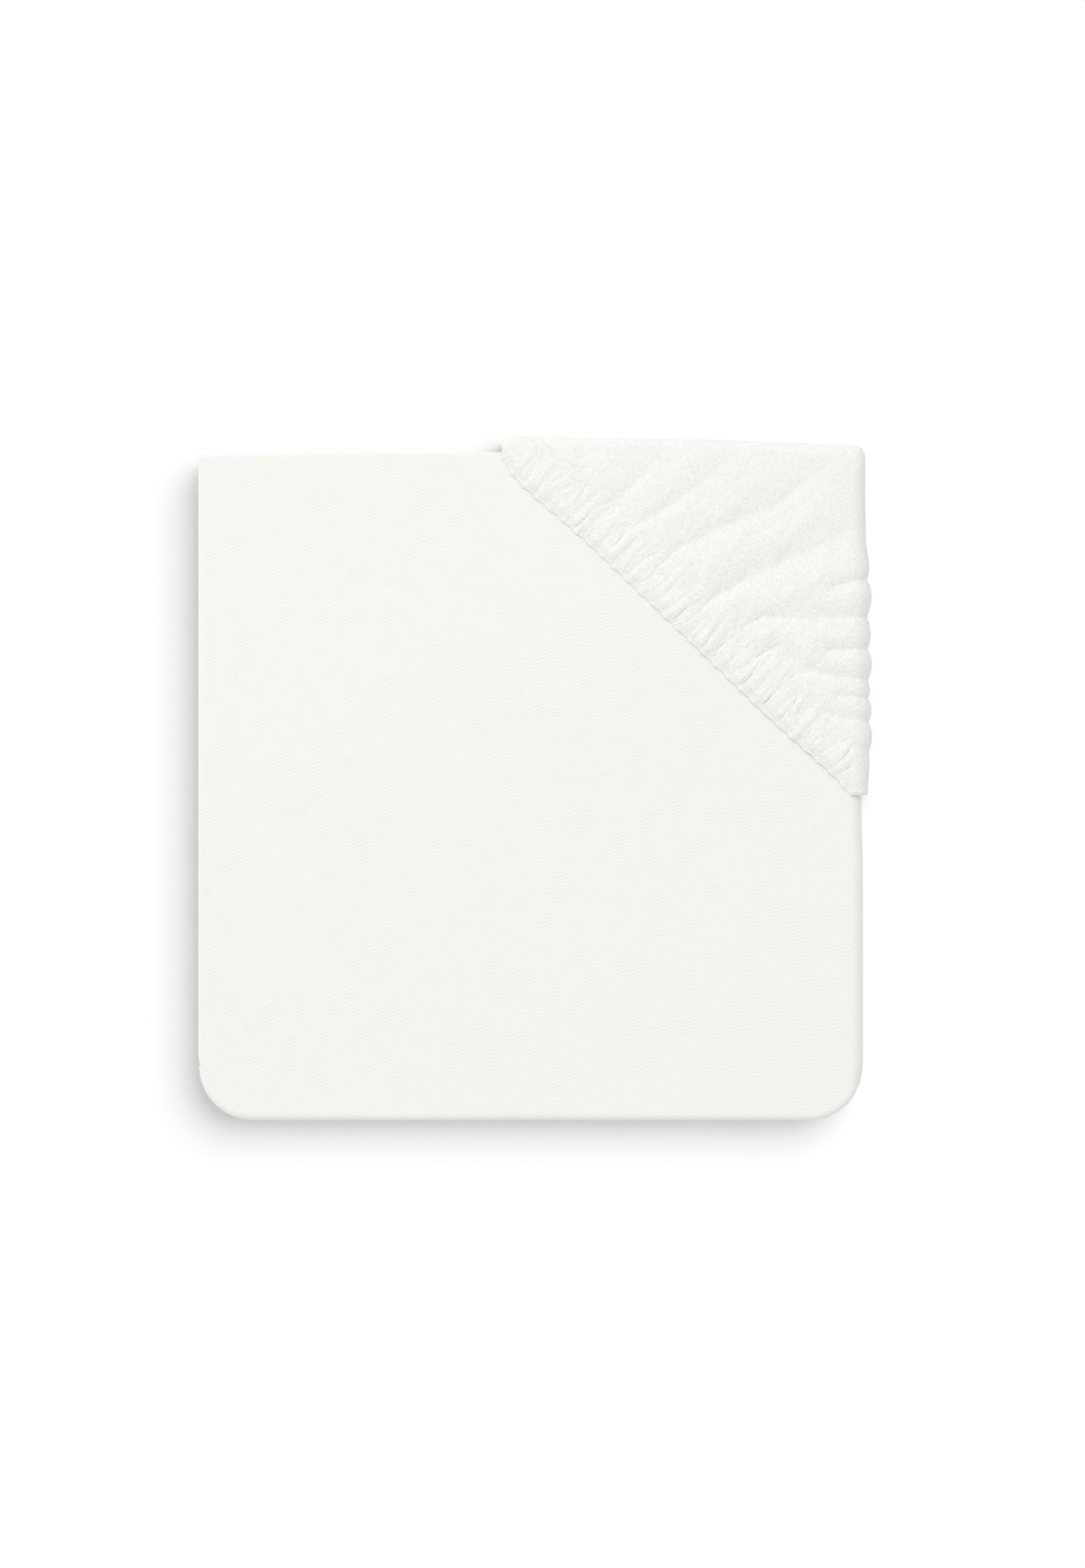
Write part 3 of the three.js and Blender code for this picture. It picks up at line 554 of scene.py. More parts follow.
def cloth_material(name, colour, pattern, relief_depth, roughness):
    """Matt cloth with soft sheen, its pattern as bump and a faint unevenness in its colour."""
    material = bpy.data.materials.new(name)
    material.use_nodes = True
    tree = material.node_tree
    shader = tree.nodes["Principled BSDF"]
    shader.inputs["Roughness"].default_value = roughness
    shader.inputs["Specular IOR Level"].default_value = SPECULAR
    shader.inputs["Sheen Weight"].default_value = SHEEN
    shader.inputs["Sheen Roughness"].default_value = SHEEN_ROUGHNESS
    place = add_node(tree, "ShaderNodeTexCoord")
    pattern_node = add_node(tree, "ShaderNodeGroup", node_tree=pattern)
    tree.links.new(place.outputs["Object"], pattern_node.inputs["Vector"])
    bump = add_node(tree, "ShaderNodeBump")
    bump.inputs["Distance"].default_value = relief_depth
    tree.links.new(pattern_node.outputs["Height"], bump.inputs["Height"])
    tree.links.new(bump.outputs["Normal"], shader.inputs["Normal"])
    tone_node = add_node(tree, "ShaderNodeGroup", node_tree=tone)
    tone_node.inputs["Colour"].default_value = (*colour, 1.0)
    tree.links.new(place.outputs["Object"], tone_node.inputs["Vector"])
    tree.links.new(tone_node.outputs["Colour"], shader.inputs["Base Color"])
    return material


stations = stack_stations()
sections = [station_section(at) for at in stations]
stack_corners, stack_faces = thick_cloth([s[0] for s in sections], [s[1] for s in sections])
round_corners(stack_corners, np.array([at["x"] for at in stations]))
cover = cloth_object("folded_cover", stack_corners, stack_faces)
ribbed_face = cloth_material("ribbed_face", FACE_COLOUR, fine_ribs(), RIB_RELIEF, FACE_ROUGHNESS)
cover.data.materials.append(ribbed_face)

# Gathered corner.
# The cover's elasticated corner turns over the stack like a pocket. Its hem runs from the back edge to the
# right edge. The elastic in the hem draws the cloth into pleats, and folds fan out from them.
WALL_CLEARANCE = 0.5
FLAP_CLEARANCE = 0.5
PLAN_CORNER = 4.25
BASE_BEND = 2.0
BACK_BEND = 4.0
CORNER_BEND = 3.2
RIGHT_BEND = 6.0
BEND_BLEND = 14.0
JOIN_THICKNESS = 1.9
JOIN_INSET = 9.0
JOIN_BACK_SLACK = 3.0
JOIN_THIN_TO_Z = CLOTH * 0.6
JOIN_FULL_Z = CLOTH * 1.2
FOLDS_FULL_Z = CLOTH * 3.5
POCKET_LEFT_X = -13.0
POCKET_FRONT_Y = -4.0

# Mesh: columns from the left end round the corner to the front end, and rows from the join to the hem.
BACK_COLUMNS = 27
ARC_COLUMNS = 3
TOP_COLUMNS = 56
COLUMN_SPLIT = 7
COLUMN_WIDTH = 0.55
JOIN_ROWS = 2
BASE_ROWS = 4
WALL_ROWS = 6
BEND_ROWS = 7
FLAP_ROWS = 15
GATHER_ROWS = 28
HEM_ROWS = 8
HEM_ROWS_INSET = 1.0
HEM_RIM = (0.6, 0.3, 0.1, 0.0)
HEM_STRIP = 6.0
SHORT_HEM_STRIP = 3.0
SHORT_HEM_SHARE = 0.3
GATHER_STRIP = 30.0
SHORT_GATHER_SHARE = 0.7
LEAST_ROW = 0.05

# Outlines from above, as x and y.
HEM_LINE = (
    (-13.0, 146.8), (-10.2, 140.5), (-2.5, 131.5), (25.0, 107.3),
    (65.0, 69.0), (105.0, 30.4), (132.0, 6.0), (141.4, -4.6),
)
HEM_LINE_STEPS = 12
BACK_WALL = ((-22.0, 152.0), (-6.0, 154.8), (40.0, 154.3), (80.0, 153.5), (142.0, 151.0))

# Casing of the elastic: a soft roll that thins to the hem, which dips and puckers at every pleat.
CASING_AT_BACK = 17.0
CASING_AT_FRONT = 12.0
CASING_PUFF = 0.8
CASING_PUFF_POWER = 0.7
HEM_HALF = 0.5
HEM_BLUNTNESS = 2.5
HEM_DROP = 0.4
HEM_SCALLOP = 0.3
KNOT_LIFT = 0.5
KNOT_REACH_POWER = 3
KNOT_WIDTH_POWER = 4

# Pleats: how high and long they are, and how they differ from one to the next. Each row is one wave along
# the hem, with its height, its rate from pleat to pleat and where it starts.
PLEATS = 28
PLEAT_HEIGHT = 1.1
PLEAT_MEAN_FULLNESS = 0.6
PLEAT_AT_HEM = 0.35
PLEAT_RISE = 4.0
PLEAT_FULL_TO = 9.0
PLEAT_GONE_AT = 30.0
PLEAT_MEAN_REACH = 0.74
PLEAT_VALLEY = 0.3
PLEAT_VALLEY_POWER = 1.5
PLEATS_AT_BACK = 0.6
LAST_BACK_PLEAT = 6.0
FIRST_FRONT_PLEAT = 14.0
PLEATS_AT_ENDS = 0.25
END_COLUMNS = 5.0
PLEAT_LEAN = {"height": 0.02, "rate": 0.9, "start": 0.5}
PLEAT_CREASE = {"height": 0.25, "rate": 3.3, "start": 1.1}
PLEAT_TOP = {"mean": 0.6, "height": 0.4, "rate": 3.7}
PLEAT_SPACING = ({"height": 0.2, "rate": 1.9, "start": 0.8}, {"height": 0.1, "rate": 4.3, "start": 0.0})
PLEAT_FULLNESS = ({"height": 0.26, "rate": 2.4, "start": 0.6}, {"height": 0.16, "rate": 5.1, "start": 2.0})
PLEAT_REACH = ({"height": 0.2, "rate": 1.7, "start": 0.0}, {"height": 0.14, "rate": 0.6, "start": 1.0})

# Fine crinkles between the pleats, how they bend to and fro, and the patches in which they stand.
CRINKLE = 0.15
CRINKLE_FROM = 0.5
CRINKLE_FULL = 4.0
CRINKLE_GONE_AT = 26.0
CRINKLES = ({"height": 1.0, "rate": 6.1, "start": 0.0}, {"height": 0.8, "rate": 10.7, "start": 0.4})
CRINKLE_BEND = ({"height": 0.26, "rate": 0.26, "start": 0.0}, {"height": 0.18, "rate": 0.14, "start": 2.3})
CRINKLE_BEND_PER_COLUMN = 3.5
CRINKLE_PATCH = {"mean": 0.55, "height": 0.45}
CRINKLE_PATCH_WAVES = ({"per_column": 1.31, "per_mm": 0.21}, {"per_column": 0.47, "per_mm": -0.3})

# How far the cloth stands off the stack between its folds.
FLAP_PUFF = 2.9
FLAP_PUFF_FROM = 4.0
FLAP_PUFF_FULL = 38.0
RIGHT_PUFF = 2.5
RIGHT_PUFF_BELOW_Y = 100.0
RIGHT_PUFF_TOP_BLEND = 12.0
RIGHT_PUFF_ABOVE_Y = 12.0
RIGHT_PUFF_END_BLEND = 14.0
EDGE_FADE = 16.0
RIPPLE = 0.16
RIPPLE_RISING = {"x_length": 6.1, "y_length": 12.5}
RIPPLE_FALLING = {"x_length": 20.0, "y_length": 7.3}

# Lumps of the terry between the folds: small ones from two waves that bend each other, and broad ones.
LUMPS = 0.35
LUMPS_FROM = 4.0
LUMPS_FULL = 14.0
SMALL_LUMPS_X = {"length": 1.9, "bend": 1.3, "bend_length": 3.1}
SMALL_LUMPS_Y = {"length": 2.3, "bend": 1.1, "bend_length": 2.7}
SMALL_LUMPS_SHARE = 0.62
BROAD_LUMPS = {"x_length": 3.3, "y_length": 4.1, "bend": 1.7, "bend_length": 5.3}

# Folds that fan out from the hem. Each is a soft trough along its line, with a finer crease in the middle.
TROUGH_SHARE = 0.8
TROUGH_POWER = 1.7
CREASE_SHARE = 0.2
CREASE_WIDE = 0.3
FOLDS = (
    {"name": "back short", "line": ((34, 122), (44, 132), (59, 149)), "depth": 0.7, "wide": 7},
    {"name": "back middle", "line": ((41, 112), (59, 122), (81, 138)), "depth": 0.7, "wide": 7},
    {"name": "long upper", "line": ((50, 92), (63, 105), (109, 124), (135, 146)), "depth": 0.9, "wide": 8},
    {"name": "long middle", "line": ((67, 72), (83, 86), (129, 107), (149, 116)), "depth": 1.0, "wide": 8},
    {"name": "right level", "line": ((91, 68), (103, 75), (129, 74), (149, 75)), "depth": 0.9, "wide": 6},
    {"name": "right fall", "line": ((101, 58), (109, 61), (121, 51), (149, 46.5)), "depth": 0.9, "wide": 5},
    {"name": "right lower", "line": ((111, 30), (121, 34), (131, 32), (149, 28)), "depth": 0.8, "wide": 5},
    {"name": "edge upper", "line": ((134, 89), (149, 92)), "depth": 0.9, "wide": 4},
    {"name": "edge middle", "line": ((132, 60), (149, 61)), "depth": 0.9, "wide": 4},
    {"name": "edge lower", "line": ((136, 40), (149, 38.8)), "depth": 0.9, "wide": 3.2},
    {"name": "front end", "line": ((124, 19), (132, 23), (149, 14)), "depth": 0.7, "wide": 5},
)

# Creases pressed into the casing and the pleats, from the hem inwards. None cuts through the cloth.
GATHER_WIDE = 0.85
GATHER_DEPTH = 0.32
GATHER_POWER = 1.6
LOWEST_FOLD = -0.4
GATHERS = (
    {"name": "seam start", "line": ((5, 153), (13, 144), (20, 140), (25, 134), (22, 128.5)), "depth": 1.6},
    {"name": "second", "line": ((27, 116), (33.5, 121.5)), "depth": 0.7},
    {"name": "third", "line": ((33, 124), (38, 130), (42, 132)), "depth": 0.8},
    {"name": "fourth", "line": ((32, 108), (36, 114), (40.5, 119)), "depth": 0.8},
    {"name": "fifth", "line": ((44, 95), (47, 103), (50, 105.5)), "depth": 0.9},
    {"name": "sixth", "line": ((46.5, 89.5), (52, 91.5), (59, 99.5), (66, 105.5)), "depth": 1.3},
    {"name": "seventh", "line": ((60, 86), (65, 92), (71, 97)), "depth": 1.0},
    {"name": "eighth", "line": ((65, 80), (70, 85), (75, 90)), "depth": 0.9},
    {"name": "ninth", "line": ((69, 72.5), (75, 78), (82, 84.5), (90, 88)), "depth": 1.4},
    {"name": "tenth", "line": ((78, 66), (82, 70), (84, 72.5)), "depth": 0.8},
    {"name": "eleventh", "line": ((81, 60), (92, 67), (95.5, 72), (100.5, 74)), "depth": 1.2},
    {"name": "twelfth", "line": ((88, 55), (91, 59), (94, 60.5)), "depth": 0.9},
    {"name": "thirteenth", "line": ((94, 50), (101, 58), (105, 60.5), (110, 62.5)), "depth": 1.3},
    {"name": "fourteenth", "line": ((98.5, 46), (103, 47), (104.8, 50)), "depth": 0.8},
    {"name": "fifteenth", "line": ((103, 36.5), (108, 41.5), (111.5, 44.5)), "depth": 1.0},
    {"name": "sixteenth", "line": ((110, 33.7), (112.3, 37.7), (117, 40.5)), "depth": 1.0},
    {"name": "seventeenth", "line": ((110.7, 26.5), (113, 29), (115.5, 32)), "depth": 1.0},
    {"name": "eighteenth", "line": ((117, 20.5), (119.5, 24.5), (127.5, 29)), "depth": 1.1},
    {"name": "last", "line": ((125, 15), (128, 19), (131.5, 22)), "depth": 1.0},
    {"name": "end tuck", "line": ((136, 6), (141, 8.5)), "depth": 1.4},
)


def back_wall_y(x):
    """Middle of the pocket's wall behind the stack."""
    xs, ys = zip(*BACK_WALL)
    return np.interp(x, xs, ys) - CLOTH / 2


def right_wall_x(y):
    """Middle of the pocket's wall right of the stack."""
    return WIDTH / 2 - pocket_tuck(y) + WALL_CLEARANCE + CLOTH / 2


def hem_point(share):
    """Point of the hem across the top, at a share of its length, on a smooth curve through its line."""
    line = np.array(HEM_LINE)
    fine = []
    for i in range(len(line) - 1):
        before, after = line[max(i - 1, 0)], line[min(i + 2, len(line) - 1)]
        for t in np.linspace(0, 1, HEM_LINE_STEPS, endpoint=False):
            start, end = line[i], line[i + 1]
            square = (2 * before - 5 * start + 4 * end - after) * t**2
            cube = (3 * (start - end) + after - before) * t**3
            fine.append(start + 0.5 * ((end - before) * t + (square + cube)))
    fine = np.array([*fine, line[-1]])
    length = np.concatenate([[0], np.cumsum(np.linalg.norm(np.diff(fine, axis=0), axis=1))])
    at = np.clip(share, 0, 1) * length[-1]
    return np.array([np.interp(at, length, fine[:, 0]), np.interp(at, length, fine[:, 1])])


def wall_columns():
    """Columns round the pocket: wall point, outward direction, bend over the edge and join of each."""
    corner_x = float(right_wall_x(DEPTH / 2))
    corner_y = float(back_wall_y(corner_x))
    arc_x, arc_y = corner_x - PLAN_CORNER, corner_y - PLAN_CORNER
    inner = (corner_x - JOIN_INSET, corner_y - JOIN_INSET)
    right_columns = TOP_COLUMNS - BACK_COLUMNS - ARC_COLUMNS
    middle = BACK_COLUMNS + ARC_COLUMNS / 2
    columns = []
    for place in np.linspace(0, TOP_COLUMNS, TOP_COLUMNS * COLUMN_SPLIT + 1):
        if place <= BACK_COLUMNS:
            x = mix(POCKET_LEFT_X, arc_x, place / BACK_COLUMNS)
            wall, out = (x, float(back_wall_y(x))), (0.0, 1.0)
            bend = mix(CORNER_BEND, BACK_BEND, float(smooth(0, BEND_BLEND, arc_x - x)))
        elif place < BACK_COLUMNS + ARC_COLUMNS:
            angle = math.pi / 2 * (1 - (place - BACK_COLUMNS) / ARC_COLUMNS)
            out = (math.cos(angle), math.sin(angle))
            wall, bend = (arc_x + PLAN_CORNER * out[0], arc_y + PLAN_CORNER * out[1]), CORNER_BEND
        else:
            y = mix(arc_y, POCKET_FRONT_Y, (place - BACK_COLUMNS - ARC_COLUMNS) / right_columns)
            wall, out = (float(right_wall_x(y)), y), (1.0, 0.0)
            bend = mix(CORNER_BEND, RIGHT_BEND, float(smooth(0, BEND_BLEND, arc_y - y)))
        if place <= middle:
            join_y = min(wall[1] - JOIN_INSET, inner[1] + JOIN_BACK_SLACK)
            join = (mix(POCKET_LEFT_X, inner[0], place / middle), join_y)
        else:
            join_y = mix(inner[1], POCKET_FRONT_Y, (place - middle) / (TOP_COLUMNS - middle))
            join = (float(right_wall_x(join_y)) - JOIN_INSET, join_y)
        columns.append({"place": place, "wall": wall, "out": out, "bend": bend, "join": join})
    return columns


def distance_to_line(x, y, line):
    """Least distance from each point to a line of straight stretches."""
    least = np.full(np.shape(x), np.inf)
    for (ax, ay), (bx, by) in zip(line[:-1], line[1:]):
        dx, dy = bx - ax, by - ay
        t = np.clip(((x - ax) * dx + (y - ay) * dy) / (dx * dx + dy * dy), 0, 1)
        least = np.minimum(least, np.hypot(x - ax - t * dx, y - ay - t * dy))
    return least


def bent_wave(value, other, wave):
    """A sine wave in one direction that a wave in the other direction bends."""
    return np.sin(value / wave["length"] + wave["bend"] * np.sin(other / wave["bend_length"]))


def lumpy(x, y):
    """Soft lumps a few millimetres across, between -1 and 1."""
    small = bent_wave(x, y, SMALL_LUMPS_X) * bent_wave(y, x, SMALL_LUMPS_Y)
    bend = BROAD_LUMPS["bend"] * np.sin(y / BROAD_LUMPS["bend_length"])
    broad = np.sin(x / BROAD_LUMPS["x_length"] - y / BROAD_LUMPS["y_length"] + bend)
    return SMALL_LUMPS_SHARE * small + (1 - SMALL_LUMPS_SHARE) * broad


def waves(value, table):
    """Sum of sine waves, each with its height, its rate and where it starts."""
    return sum(wave["height"] * np.sin(wave["rate"] * value + wave["start"]) for wave in table)


def relief(x, y, from_hem):
    """How far the pocket stands off its tight shape, between and in its folds."""
    near_back = np.exp(-np.maximum(0, back_wall_y(x) - y) / EDGE_FADE)
    near_right = np.exp(-np.maximum(0, right_wall_x(y) - x) / EDGE_FADE)
    flap = FLAP_PUFF * smooth(FLAP_PUFF_FROM, FLAP_PUFF_FULL, from_hem) * (1 - near_back) * (1 - near_right)
    top, end = RIGHT_PUFF_BELOW_Y, RIGHT_PUFF_ABOVE_Y
    below_top = smooth(top + RIGHT_PUFF_TOP_BLEND, top - RIGHT_PUFF_TOP_BLEND, y)
    above_end = smooth(end - RIGHT_PUFF_END_BLEND, end + RIGHT_PUFF_END_BLEND, y)
    right = RIGHT_PUFF * near_right * below_top * above_end
    rising = np.sin(x / RIPPLE_RISING["x_length"] + y / RIPPLE_RISING["y_length"])
    falling = np.sin(y / RIPPLE_FALLING["y_length"] - x / RIPPLE_FALLING["x_length"])
    ripple = 1 + RIPPLE * rising * falling
    standing = np.ones(np.shape(x))
    for fold in FOLDS:
        away = distance_to_line(x, y, fold["line"]) / fold["wide"]
        trough = TROUGH_SHARE * np.exp(-(away**TROUGH_POWER))
        valley = trough + CREASE_SHARE * np.exp(-((away / CREASE_WIDE) ** 2))
        standing = standing * (1 - fold["depth"] * valley)
    loose = LUMPS * lumpy(x, y) * smooth(LUMPS_FROM, LUMPS_FULL, from_hem)
    loose = loose * (1 - near_back) * (1 - near_right)
    return (flap + right) * standing * ripple + loose


def crinkle_height(place, from_hem):
    """Height of the fine crinkles, which stand in patches near the hem."""
    bent = place + waves(from_hem + CRINKLE_BEND_PER_COLUMN * place, CRINKLE_BEND)
    patch = CRINKLE_PATCH["height"]
    for wave in CRINKLE_PATCH_WAVES:
        patch = patch * np.sin(wave["per_column"] * place + wave["per_mm"] * from_hem)
    away = 1 - smooth(CRINKLE_GONE_AT / 2, CRINKLE_GONE_AT, from_hem)
    near = smooth(CRINKLE_FROM, CRINKLE_FULL, from_hem) * away
    return CRINKLE * waves(bent, CRINKLES) * (CRINKLE_PATCH["mean"] + patch) * near


def pleat_height(place, x, y, from_hem):
    """Height of the pleats that the elastic draws in, uneven in width, height and length."""
    number = place / TOP_COLUMNS * PLEATS
    lean = PLEAT_LEAN["height"] * from_hem * np.sin(number * PLEAT_LEAN["rate"] + PLEAT_LEAN["start"])
    phase = number + waves(number, PLEAT_SPACING) + lean
    along_hem = mix(PLEATS_AT_BACK, 1.0, smooth(LAST_BACK_PLEAT, FIRST_FRONT_PLEAT, number))
    fullness = (PLEAT_MEAN_FULLNESS + waves(number, PLEAT_FULLNESS)) * along_hem
    full_to = PLEAT_FULL_TO * (PLEAT_TOP["mean"] + PLEAT_TOP["height"] * np.sin(number * PLEAT_TOP["rate"]))
    gone_at = PLEAT_GONE_AT * (PLEAT_MEAN_REACH + waves(number, PLEAT_REACH))
    across = np.abs(np.sin(math.pi * phase))
    creased = 1 - np.exp(-((across / PLEAT_VALLEY) ** PLEAT_VALLEY_POWER))
    creasing = 0.5 + 0.5 * np.sin(number * PLEAT_CREASE["rate"] + PLEAT_CREASE["start"])
    ridge = mix(across**2, creased, PLEAT_CREASE["height"] * creasing)
    at_hem = PLEAT_AT_HEM + (1 - PLEAT_AT_HEM) * smooth(0, PLEAT_RISE, from_hem)
    height = PLEAT_HEIGHT * fullness * ridge * at_hem * (1 - smooth(full_to, gone_at, from_hem))
    height = height + crinkle_height(place, from_hem)
    ends = smooth(0, END_COLUMNS, place) * smooth(0, END_COLUMNS, TOP_COLUMNS - place)
    height = height * mix(PLEATS_AT_ENDS, 1.0, ends)
    for gather in GATHERS:
        away = distance_to_line(x, y, gather["line"])
        height = height - GATHER_DEPTH * gather["depth"] * np.exp(-((away / GATHER_WIDE) ** GATHER_POWER))
    return height


def column_path(column):
    """Key lengths along a column and the point, outward direction and height at any of them."""
    wall, out, bend = np.array(column["wall"]), np.array(column["out"]), column["bend"]
    join = np.array(column["join"])
    base = wall - BASE_BEND * out
    top = wall - bend * out
    top_z = float(stack_top(*top)) + FLAP_CLEARANCE + CLOTH / 2
    hem = hem_point(column["place"] / TOP_COLUMNS)
    join_end = float(np.linalg.norm(base - join))
    base_end = join_end + math.pi / 2 * BASE_BEND
    wall_end = base_end + top_z - bend - (CLOTH / 2 + BASE_BEND)
    bend_end = wall_end + math.pi / 2 * bend
    flap = float(np.linalg.norm(hem - top))
    low = CLOTH / 2

    def at(s):
        """Points at lengths along the column, and the directions in which its outer face looks there."""
        s = s[:, None]
        base_angle = np.clip((s - join_end) / BASE_BEND, 0, math.pi / 2)
        top_angle = np.clip((s - wall_end) / bend, 0, math.pi / 2)
        over = np.clip((s - bend_end) / flap, 0, 1)
        plan = mix(join, base, np.clip(s / join_end, 0, 1))
        plan = np.where(s > join_end, base + out * BASE_BEND * np.sin(base_angle), plan)
        plan = np.where(s > wall_end, top + out * bend * np.cos(top_angle), plan)
        plan = np.where(s > bend_end, mix(top, hem, over), plan)
        rise = low + BASE_BEND * (1 - np.cos(base_angle)) + np.clip(s - base_end, 0, wall_end - base_end)
        rise = rise + bend * np.sin(top_angle)
        over_top = (stack_top(plan[:, 0], plan[:, 1]) + FLAP_CLEARANCE + low)[:, None]
        rise = np.where(s > bend_end, over_top, rise)
        level = np.where(s > base_end, np.sin(top_angle), -np.cos(base_angle))
        side = np.where(s > base_end, np.cos(top_angle), np.sin(base_angle))
        return np.hstack([plan, rise]), np.hstack([out * side, level])

    ends = {"join": join_end, "base": base_end, "wall": wall_end, "bend": bend_end, "flap": flap}
    return at, ends, bend_end + flap


def row_stops(ends, length):
    """Row positions along a column, closer in the gathers; rows above a low hem close up towards it."""
    hem_start = length - min(HEM_STRIP, SHORT_HEM_STRIP + SHORT_HEM_SHARE * ends["flap"])
    gather_strip = max(min(GATHER_STRIP, SHORT_GATHER_SHARE * ends["flap"]), GATHER_ROWS * LEAST_ROW)
    gather_from = hem_start - gather_strip
    flap_from = min(ends["bend"], gather_from - FLAP_ROWS * LEAST_ROW)
    bend_from = min(ends["wall"], flap_from - BEND_ROWS * LEAST_ROW)
    wall_from = min(ends["base"], bend_from - WALL_ROWS * LEAST_ROW)
    join_to = min(ends["join"], wall_from - BASE_ROWS * LEAST_ROW)
    keys = (0.0, join_to, wall_from, bend_from, flap_from, gather_from, hem_start)
    steps = (JOIN_ROWS, BASE_ROWS, WALL_ROWS, BEND_ROWS, FLAP_ROWS, GATHER_ROWS)
    parts = [np.linspace(a, b, n, endpoint=False) for a, b, n in zip(keys[:-1], keys[1:], steps)]
    rim = length - np.array(HEM_RIM)
    return np.concatenate([*parts, np.linspace(hem_start, length - HEM_ROWS_INSET, HEM_ROWS), rim])


def pocket_column(column):
    """Middle of the cloth and its half thickness down one column."""
    at, ends, length = column_path(column)
    place = column["place"]
    casing = mix(CASING_AT_BACK, CASING_AT_FRONT, place / TOP_COLUMNS)
    s = row_stops(ends, length)
    points, face = at(s)
    from_hem = length - s
    stand = smooth(CLOTH, FOLDS_FULL_Z, points[:, 2])
    in_casing = np.sin(math.pi * np.clip(from_hem / casing, 0, 1))
    puff = CASING_PUFF * in_casing**CASING_PUFF_POWER * stand
    low_join = mix(JOIN_THICKNESS, CLOTH, smooth(JOIN_THIN_TO_Z, JOIN_FULL_Z, points[:, 2]))
    near_hem = 1 - smooth(0, HEM_STRIP, from_hem)
    pull = math.sin(2 * math.pi * place / TOP_COLUMNS * PLEATS)
    half = mix((low_join + puff) / 2, HEM_HALF, near_hem)
    pleats = pleat_height(place, points[:, 0], points[:, 1], from_hem)
    fold = relief(points[:, 0], points[:, 1], from_hem) + pleats
    knot = KNOT_LIFT * near_hem**KNOT_REACH_POWER * max(0.0, pull) ** KNOT_WIDTH_POWER
    drop = near_hem * (CLOTH / 2 - HEM_HALF + HEM_DROP) - knot
    shift = np.maximum(fold, LOWEST_FOLD * (1 - near_hem)) * stand + puff / 2 - drop
    half = np.minimum(half, rounded(from_hem * HEM_BLUNTNESS) * half / (CLOTH / 2))
    from_end = min(place, TOP_COLUMNS - place) * COLUMN_SPLIT * COLUMN_WIDTH
    half = np.minimum(half, float(rounded(from_end)))
    scallop = HEM_SCALLOP * near_hem**2 * pull
    inward = hem_point(place / TOP_COLUMNS) - np.array(column["wall"])
    inward = inward / max(float(np.linalg.norm(inward)), 1.0)
    points[:, :2] += scallop[:, None] * inward
    return points + face * shift[:, None], half


# Terry side of the cloth: short curled loops packed close, over a softer lumpiness. Sizes are metres.
TERRY_COLOUR = (0.905, 0.895, 0.860)
TERRY_ROUGHNESS = 0.97
LOOP_SIZE = 0.0011
LOOP_RELIEF = 0.00015
LOOP_BEND = 0.0022
LOOP_BEND_SCALE = 420.0
LOOP_CURL = 7.5
LOOP_SHARE = 0.5
TUFT_SCALE = 190.0
TUFT_SHARE = 1.6


def terry_loops():
    """Node group with the height of curled loops over soft tufts."""
    group, given, result = new_group(
        "terry_loops",
        [("Vector", "NodeSocketVector", None), ("Loop size", "NodeSocketFloat", LOOP_SIZE)],
        [("Height", "NodeSocketFloat")],
    )
    vector = given.outputs["Vector"]
    bend = add_node(group, "ShaderNodeTexNoise")
    bend.inputs["Scale"].default_value = LOOP_BEND_SCALE
    group.links.new(vector, bend.inputs["Vector"])
    bent = add_node(group, "ShaderNodeVectorMath", operation="MULTIPLY_ADD")
    group.links.new(bend.outputs["Color"], bent.inputs[0])
    bent.inputs[1].default_value = (LOOP_BEND, LOOP_BEND, LOOP_BEND)
    group.links.new(vector, bent.inputs[2])
    cells = add_node(group, "ShaderNodeTexVoronoi", feature="F1")
    group.links.new(math_node(group, "DIVIDE", 1.0, given.outputs["Loop size"]), cells.inputs["Scale"])
    group.links.new(bent.outputs[0], cells.inputs["Vector"])
    curl = math_node(group, "SINE", math_node(group, "MULTIPLY", cells.outputs["Distance"], LOOP_CURL))
    tufts = math_node(group, "MULTIPLY", noise(group, vector, TUFT_SCALE, FINE), TUFT_SHARE)
    height = math_node(group, "MULTIPLY_ADD", curl, LOOP_SHARE, tufts)
    group.links.new(height, result.inputs["Height"])
    return group


pocket_columns = [pocket_column(column) for column in wall_columns()]
pocket_cloth = thick_cloth([c[0] for c in pocket_columns], [c[1] for c in pocket_columns])
corner = cloth_object("gathered_corner", *pocket_cloth)
terry_side = cloth_material("terry_side", TERRY_COLOUR, terry_loops(), LOOP_RELIEF, TERRY_ROUGHNESS)
cover.data.materials.append(terry_side)
for material in (ribbed_face, terry_side):
    corner.data.materials.append(material)
corner.data.polygons.foreach_set("material_index", [1] * len(corner.data.polygons))

# The corner is one cloth with the bottom layer, so the two meshes are joined into one skin.
union = cover.modifiers.new("corner", "BOOLEAN")
union.operation = "UNION"
union.solver = "MANIFOLD"
union.object = corner
bpy.context.view_layer.update()
joined = bpy.data.meshes.new_from_object(cover.evaluated_get(bpy.context.evaluated_depsgraph_get()))
cover.modifiers.clear()
cover.data = joined
joined.name = "folded_cover"
joined.shade_smooth()
bpy.data.objects.remove(corner)

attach(cover, "root")
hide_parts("cover")

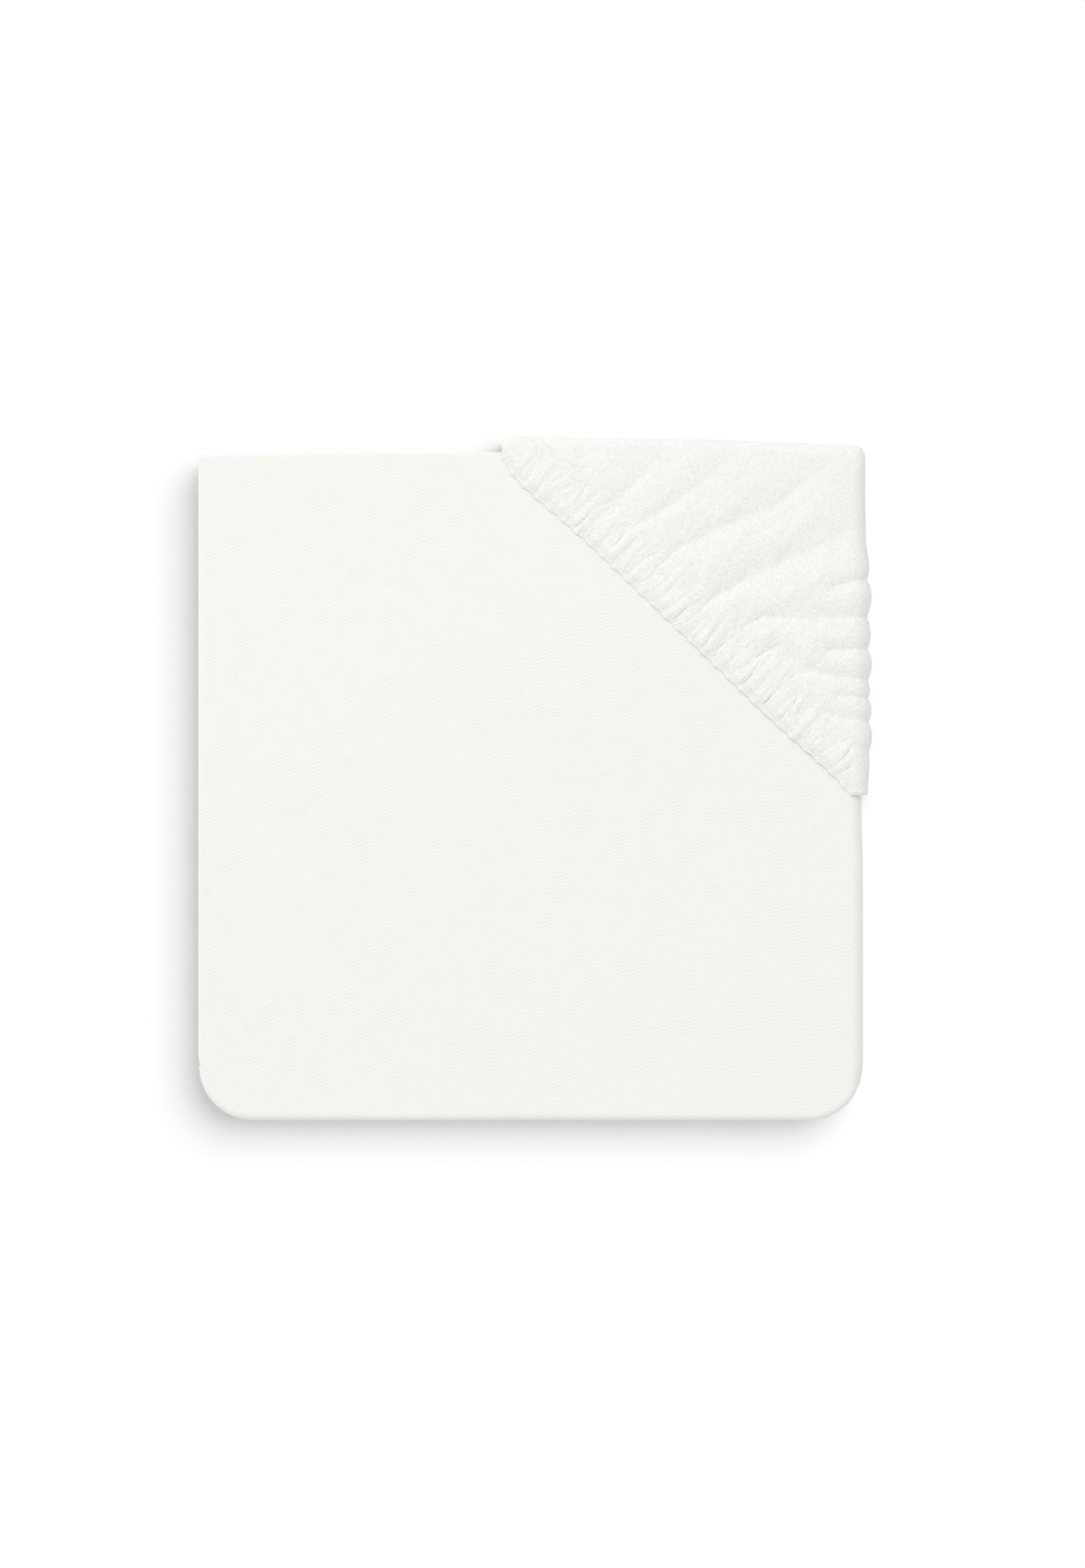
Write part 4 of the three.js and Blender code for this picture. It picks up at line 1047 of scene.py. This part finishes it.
# Shelf, light and view.
# The cover lies on a plain white surface, in soft studio light from behind it, seen from straight above
# through a long lens.
FLOOR_HALF = 12.0
FLOOR_WHITE = (0.865, 0.865, 0.87, 1)
floor_corners = [(x * FLOOR_HALF, y * FLOOR_HALF, 0) for x, y in ((-1, -1), (1, -1), (1, 1), (-1, 1))]
floor_mesh = bpy.data.meshes.new("floor")
floor_mesh.from_pydata(floor_corners, [], [(0, 1, 2, 3)])
floor = bpy.data.objects.new("floor", floor_mesh)
bpy.context.collection.objects.link(floor)
white = bpy.data.materials.new("white_surface")
white.use_nodes = True
surface = white.node_tree.nodes["Principled BSDF"]
surface.inputs["Base Color"].default_value = FLOOR_WHITE
surface.inputs["Roughness"].default_value = 1.0
surface.inputs["Specular IOR Level"].default_value = 0.0
floor_mesh.materials.append(white)

ROOM_LIGHT = 0.7
world = bpy.data.worlds.new("studio")
bpy.context.scene.world = world
world.use_nodes = True
background = world.node_tree.nodes["Background"]
background.inputs["Color"].default_value = (1, 1, 1, 1)
background.inputs["Strength"].default_value = ROOM_LIGHT


def soft_light(light, towards, distance, lit):
    """Hangs a wide, even light over the cover so that it falls on one thing only."""
    direction = Vector(towards).normalized()
    made = bpy.data.objects.new(light.name, light)
    bpy.context.collection.objects.link(made)
    made.location = Vector(STACK_MIDDLE) + direction * distance
    made.rotation_euler = direction.to_track_quat("Z", "Y").to_euler()
    receivers = bpy.data.collections.new(light.name)
    receivers.objects.link(lit)
    made.light_linking.receiver_collection = receivers


# A wide sun for the surface alone, from the back right, casts the soft shadow of the cover.
SURFACE_LIGHT_SHARE = 0.582
SURFACE_LIGHT_SPREAD = 54
SURFACE_LIGHT_TOWARDS = (0.5, 0.5, 1.0)
SURFACE_LIGHT_DISTANCE = 2.0
surface_light = bpy.data.lights.new("surface_light", "SUN")
surface_light.angle = math.radians(SURFACE_LIGHT_SPREAD)
surface_light.energy = SURFACE_LIGHT_SHARE * math.pi
soft_light(surface_light, SURFACE_LIGHT_TOWARDS, SURFACE_LIGHT_DISTANCE, floor)

# A large round light for the cover alone, from the back left, shows its folds and pleats.
CLOTH_LIGHT_SHARE = 0.485
CLOTH_LIGHT_SIZE = 2.8
CLOTH_LIGHT_TOWARDS = (-0.35, 0.45, 1.0)
CLOTH_LIGHT_DISTANCE = 3.0
cloth_light = bpy.data.lights.new("cloth_light", "AREA")
cloth_light.shape = "DISK"
cloth_light.size = CLOTH_LIGHT_SIZE
cloth_light.energy = CLOTH_LIGHT_SHARE * math.pi**2 * CLOTH_LIGHT_DISTANCE**2
soft_light(cloth_light, CLOTH_LIGHT_TOWARDS, CLOTH_LIGHT_DISTANCE, cover)

# The view shows as much as the photo: its size and the stack's middle in it are pixels of 0.4 mm.
PHOTO_PIXEL = 0.4 * MM
PHOTO_SIZE = (1200, 1734)
STACK_IN_PHOTO = (587.4, 869.4)
LENS = 100.0
SENSOR = 36.0
view_x = STACK_MIDDLE[0] + (PHOTO_SIZE[0] / 2 - STACK_IN_PHOTO[0]) * PHOTO_PIXEL
view_y = STACK_MIDDLE[1] + (STACK_IN_PHOTO[1] - PHOTO_SIZE[1] / 2) * PHOTO_PIXEL
view_height = PHOTO_SIZE[1] * PHOTO_PIXEL * LENS / SENSOR + float(stack_top(0, 0)) * MM
camera_data = bpy.data.cameras.new("camera")
camera_data.lens = LENS
camera_data.sensor_width = SENSOR
camera = bpy.data.objects.new("camera", camera_data)
camera.location = (view_x, view_y, view_height)
bpy.context.collection.objects.link(camera)
bpy.context.scene.camera = camera
bpy.context.scene.view_settings.view_transform = "Standard"
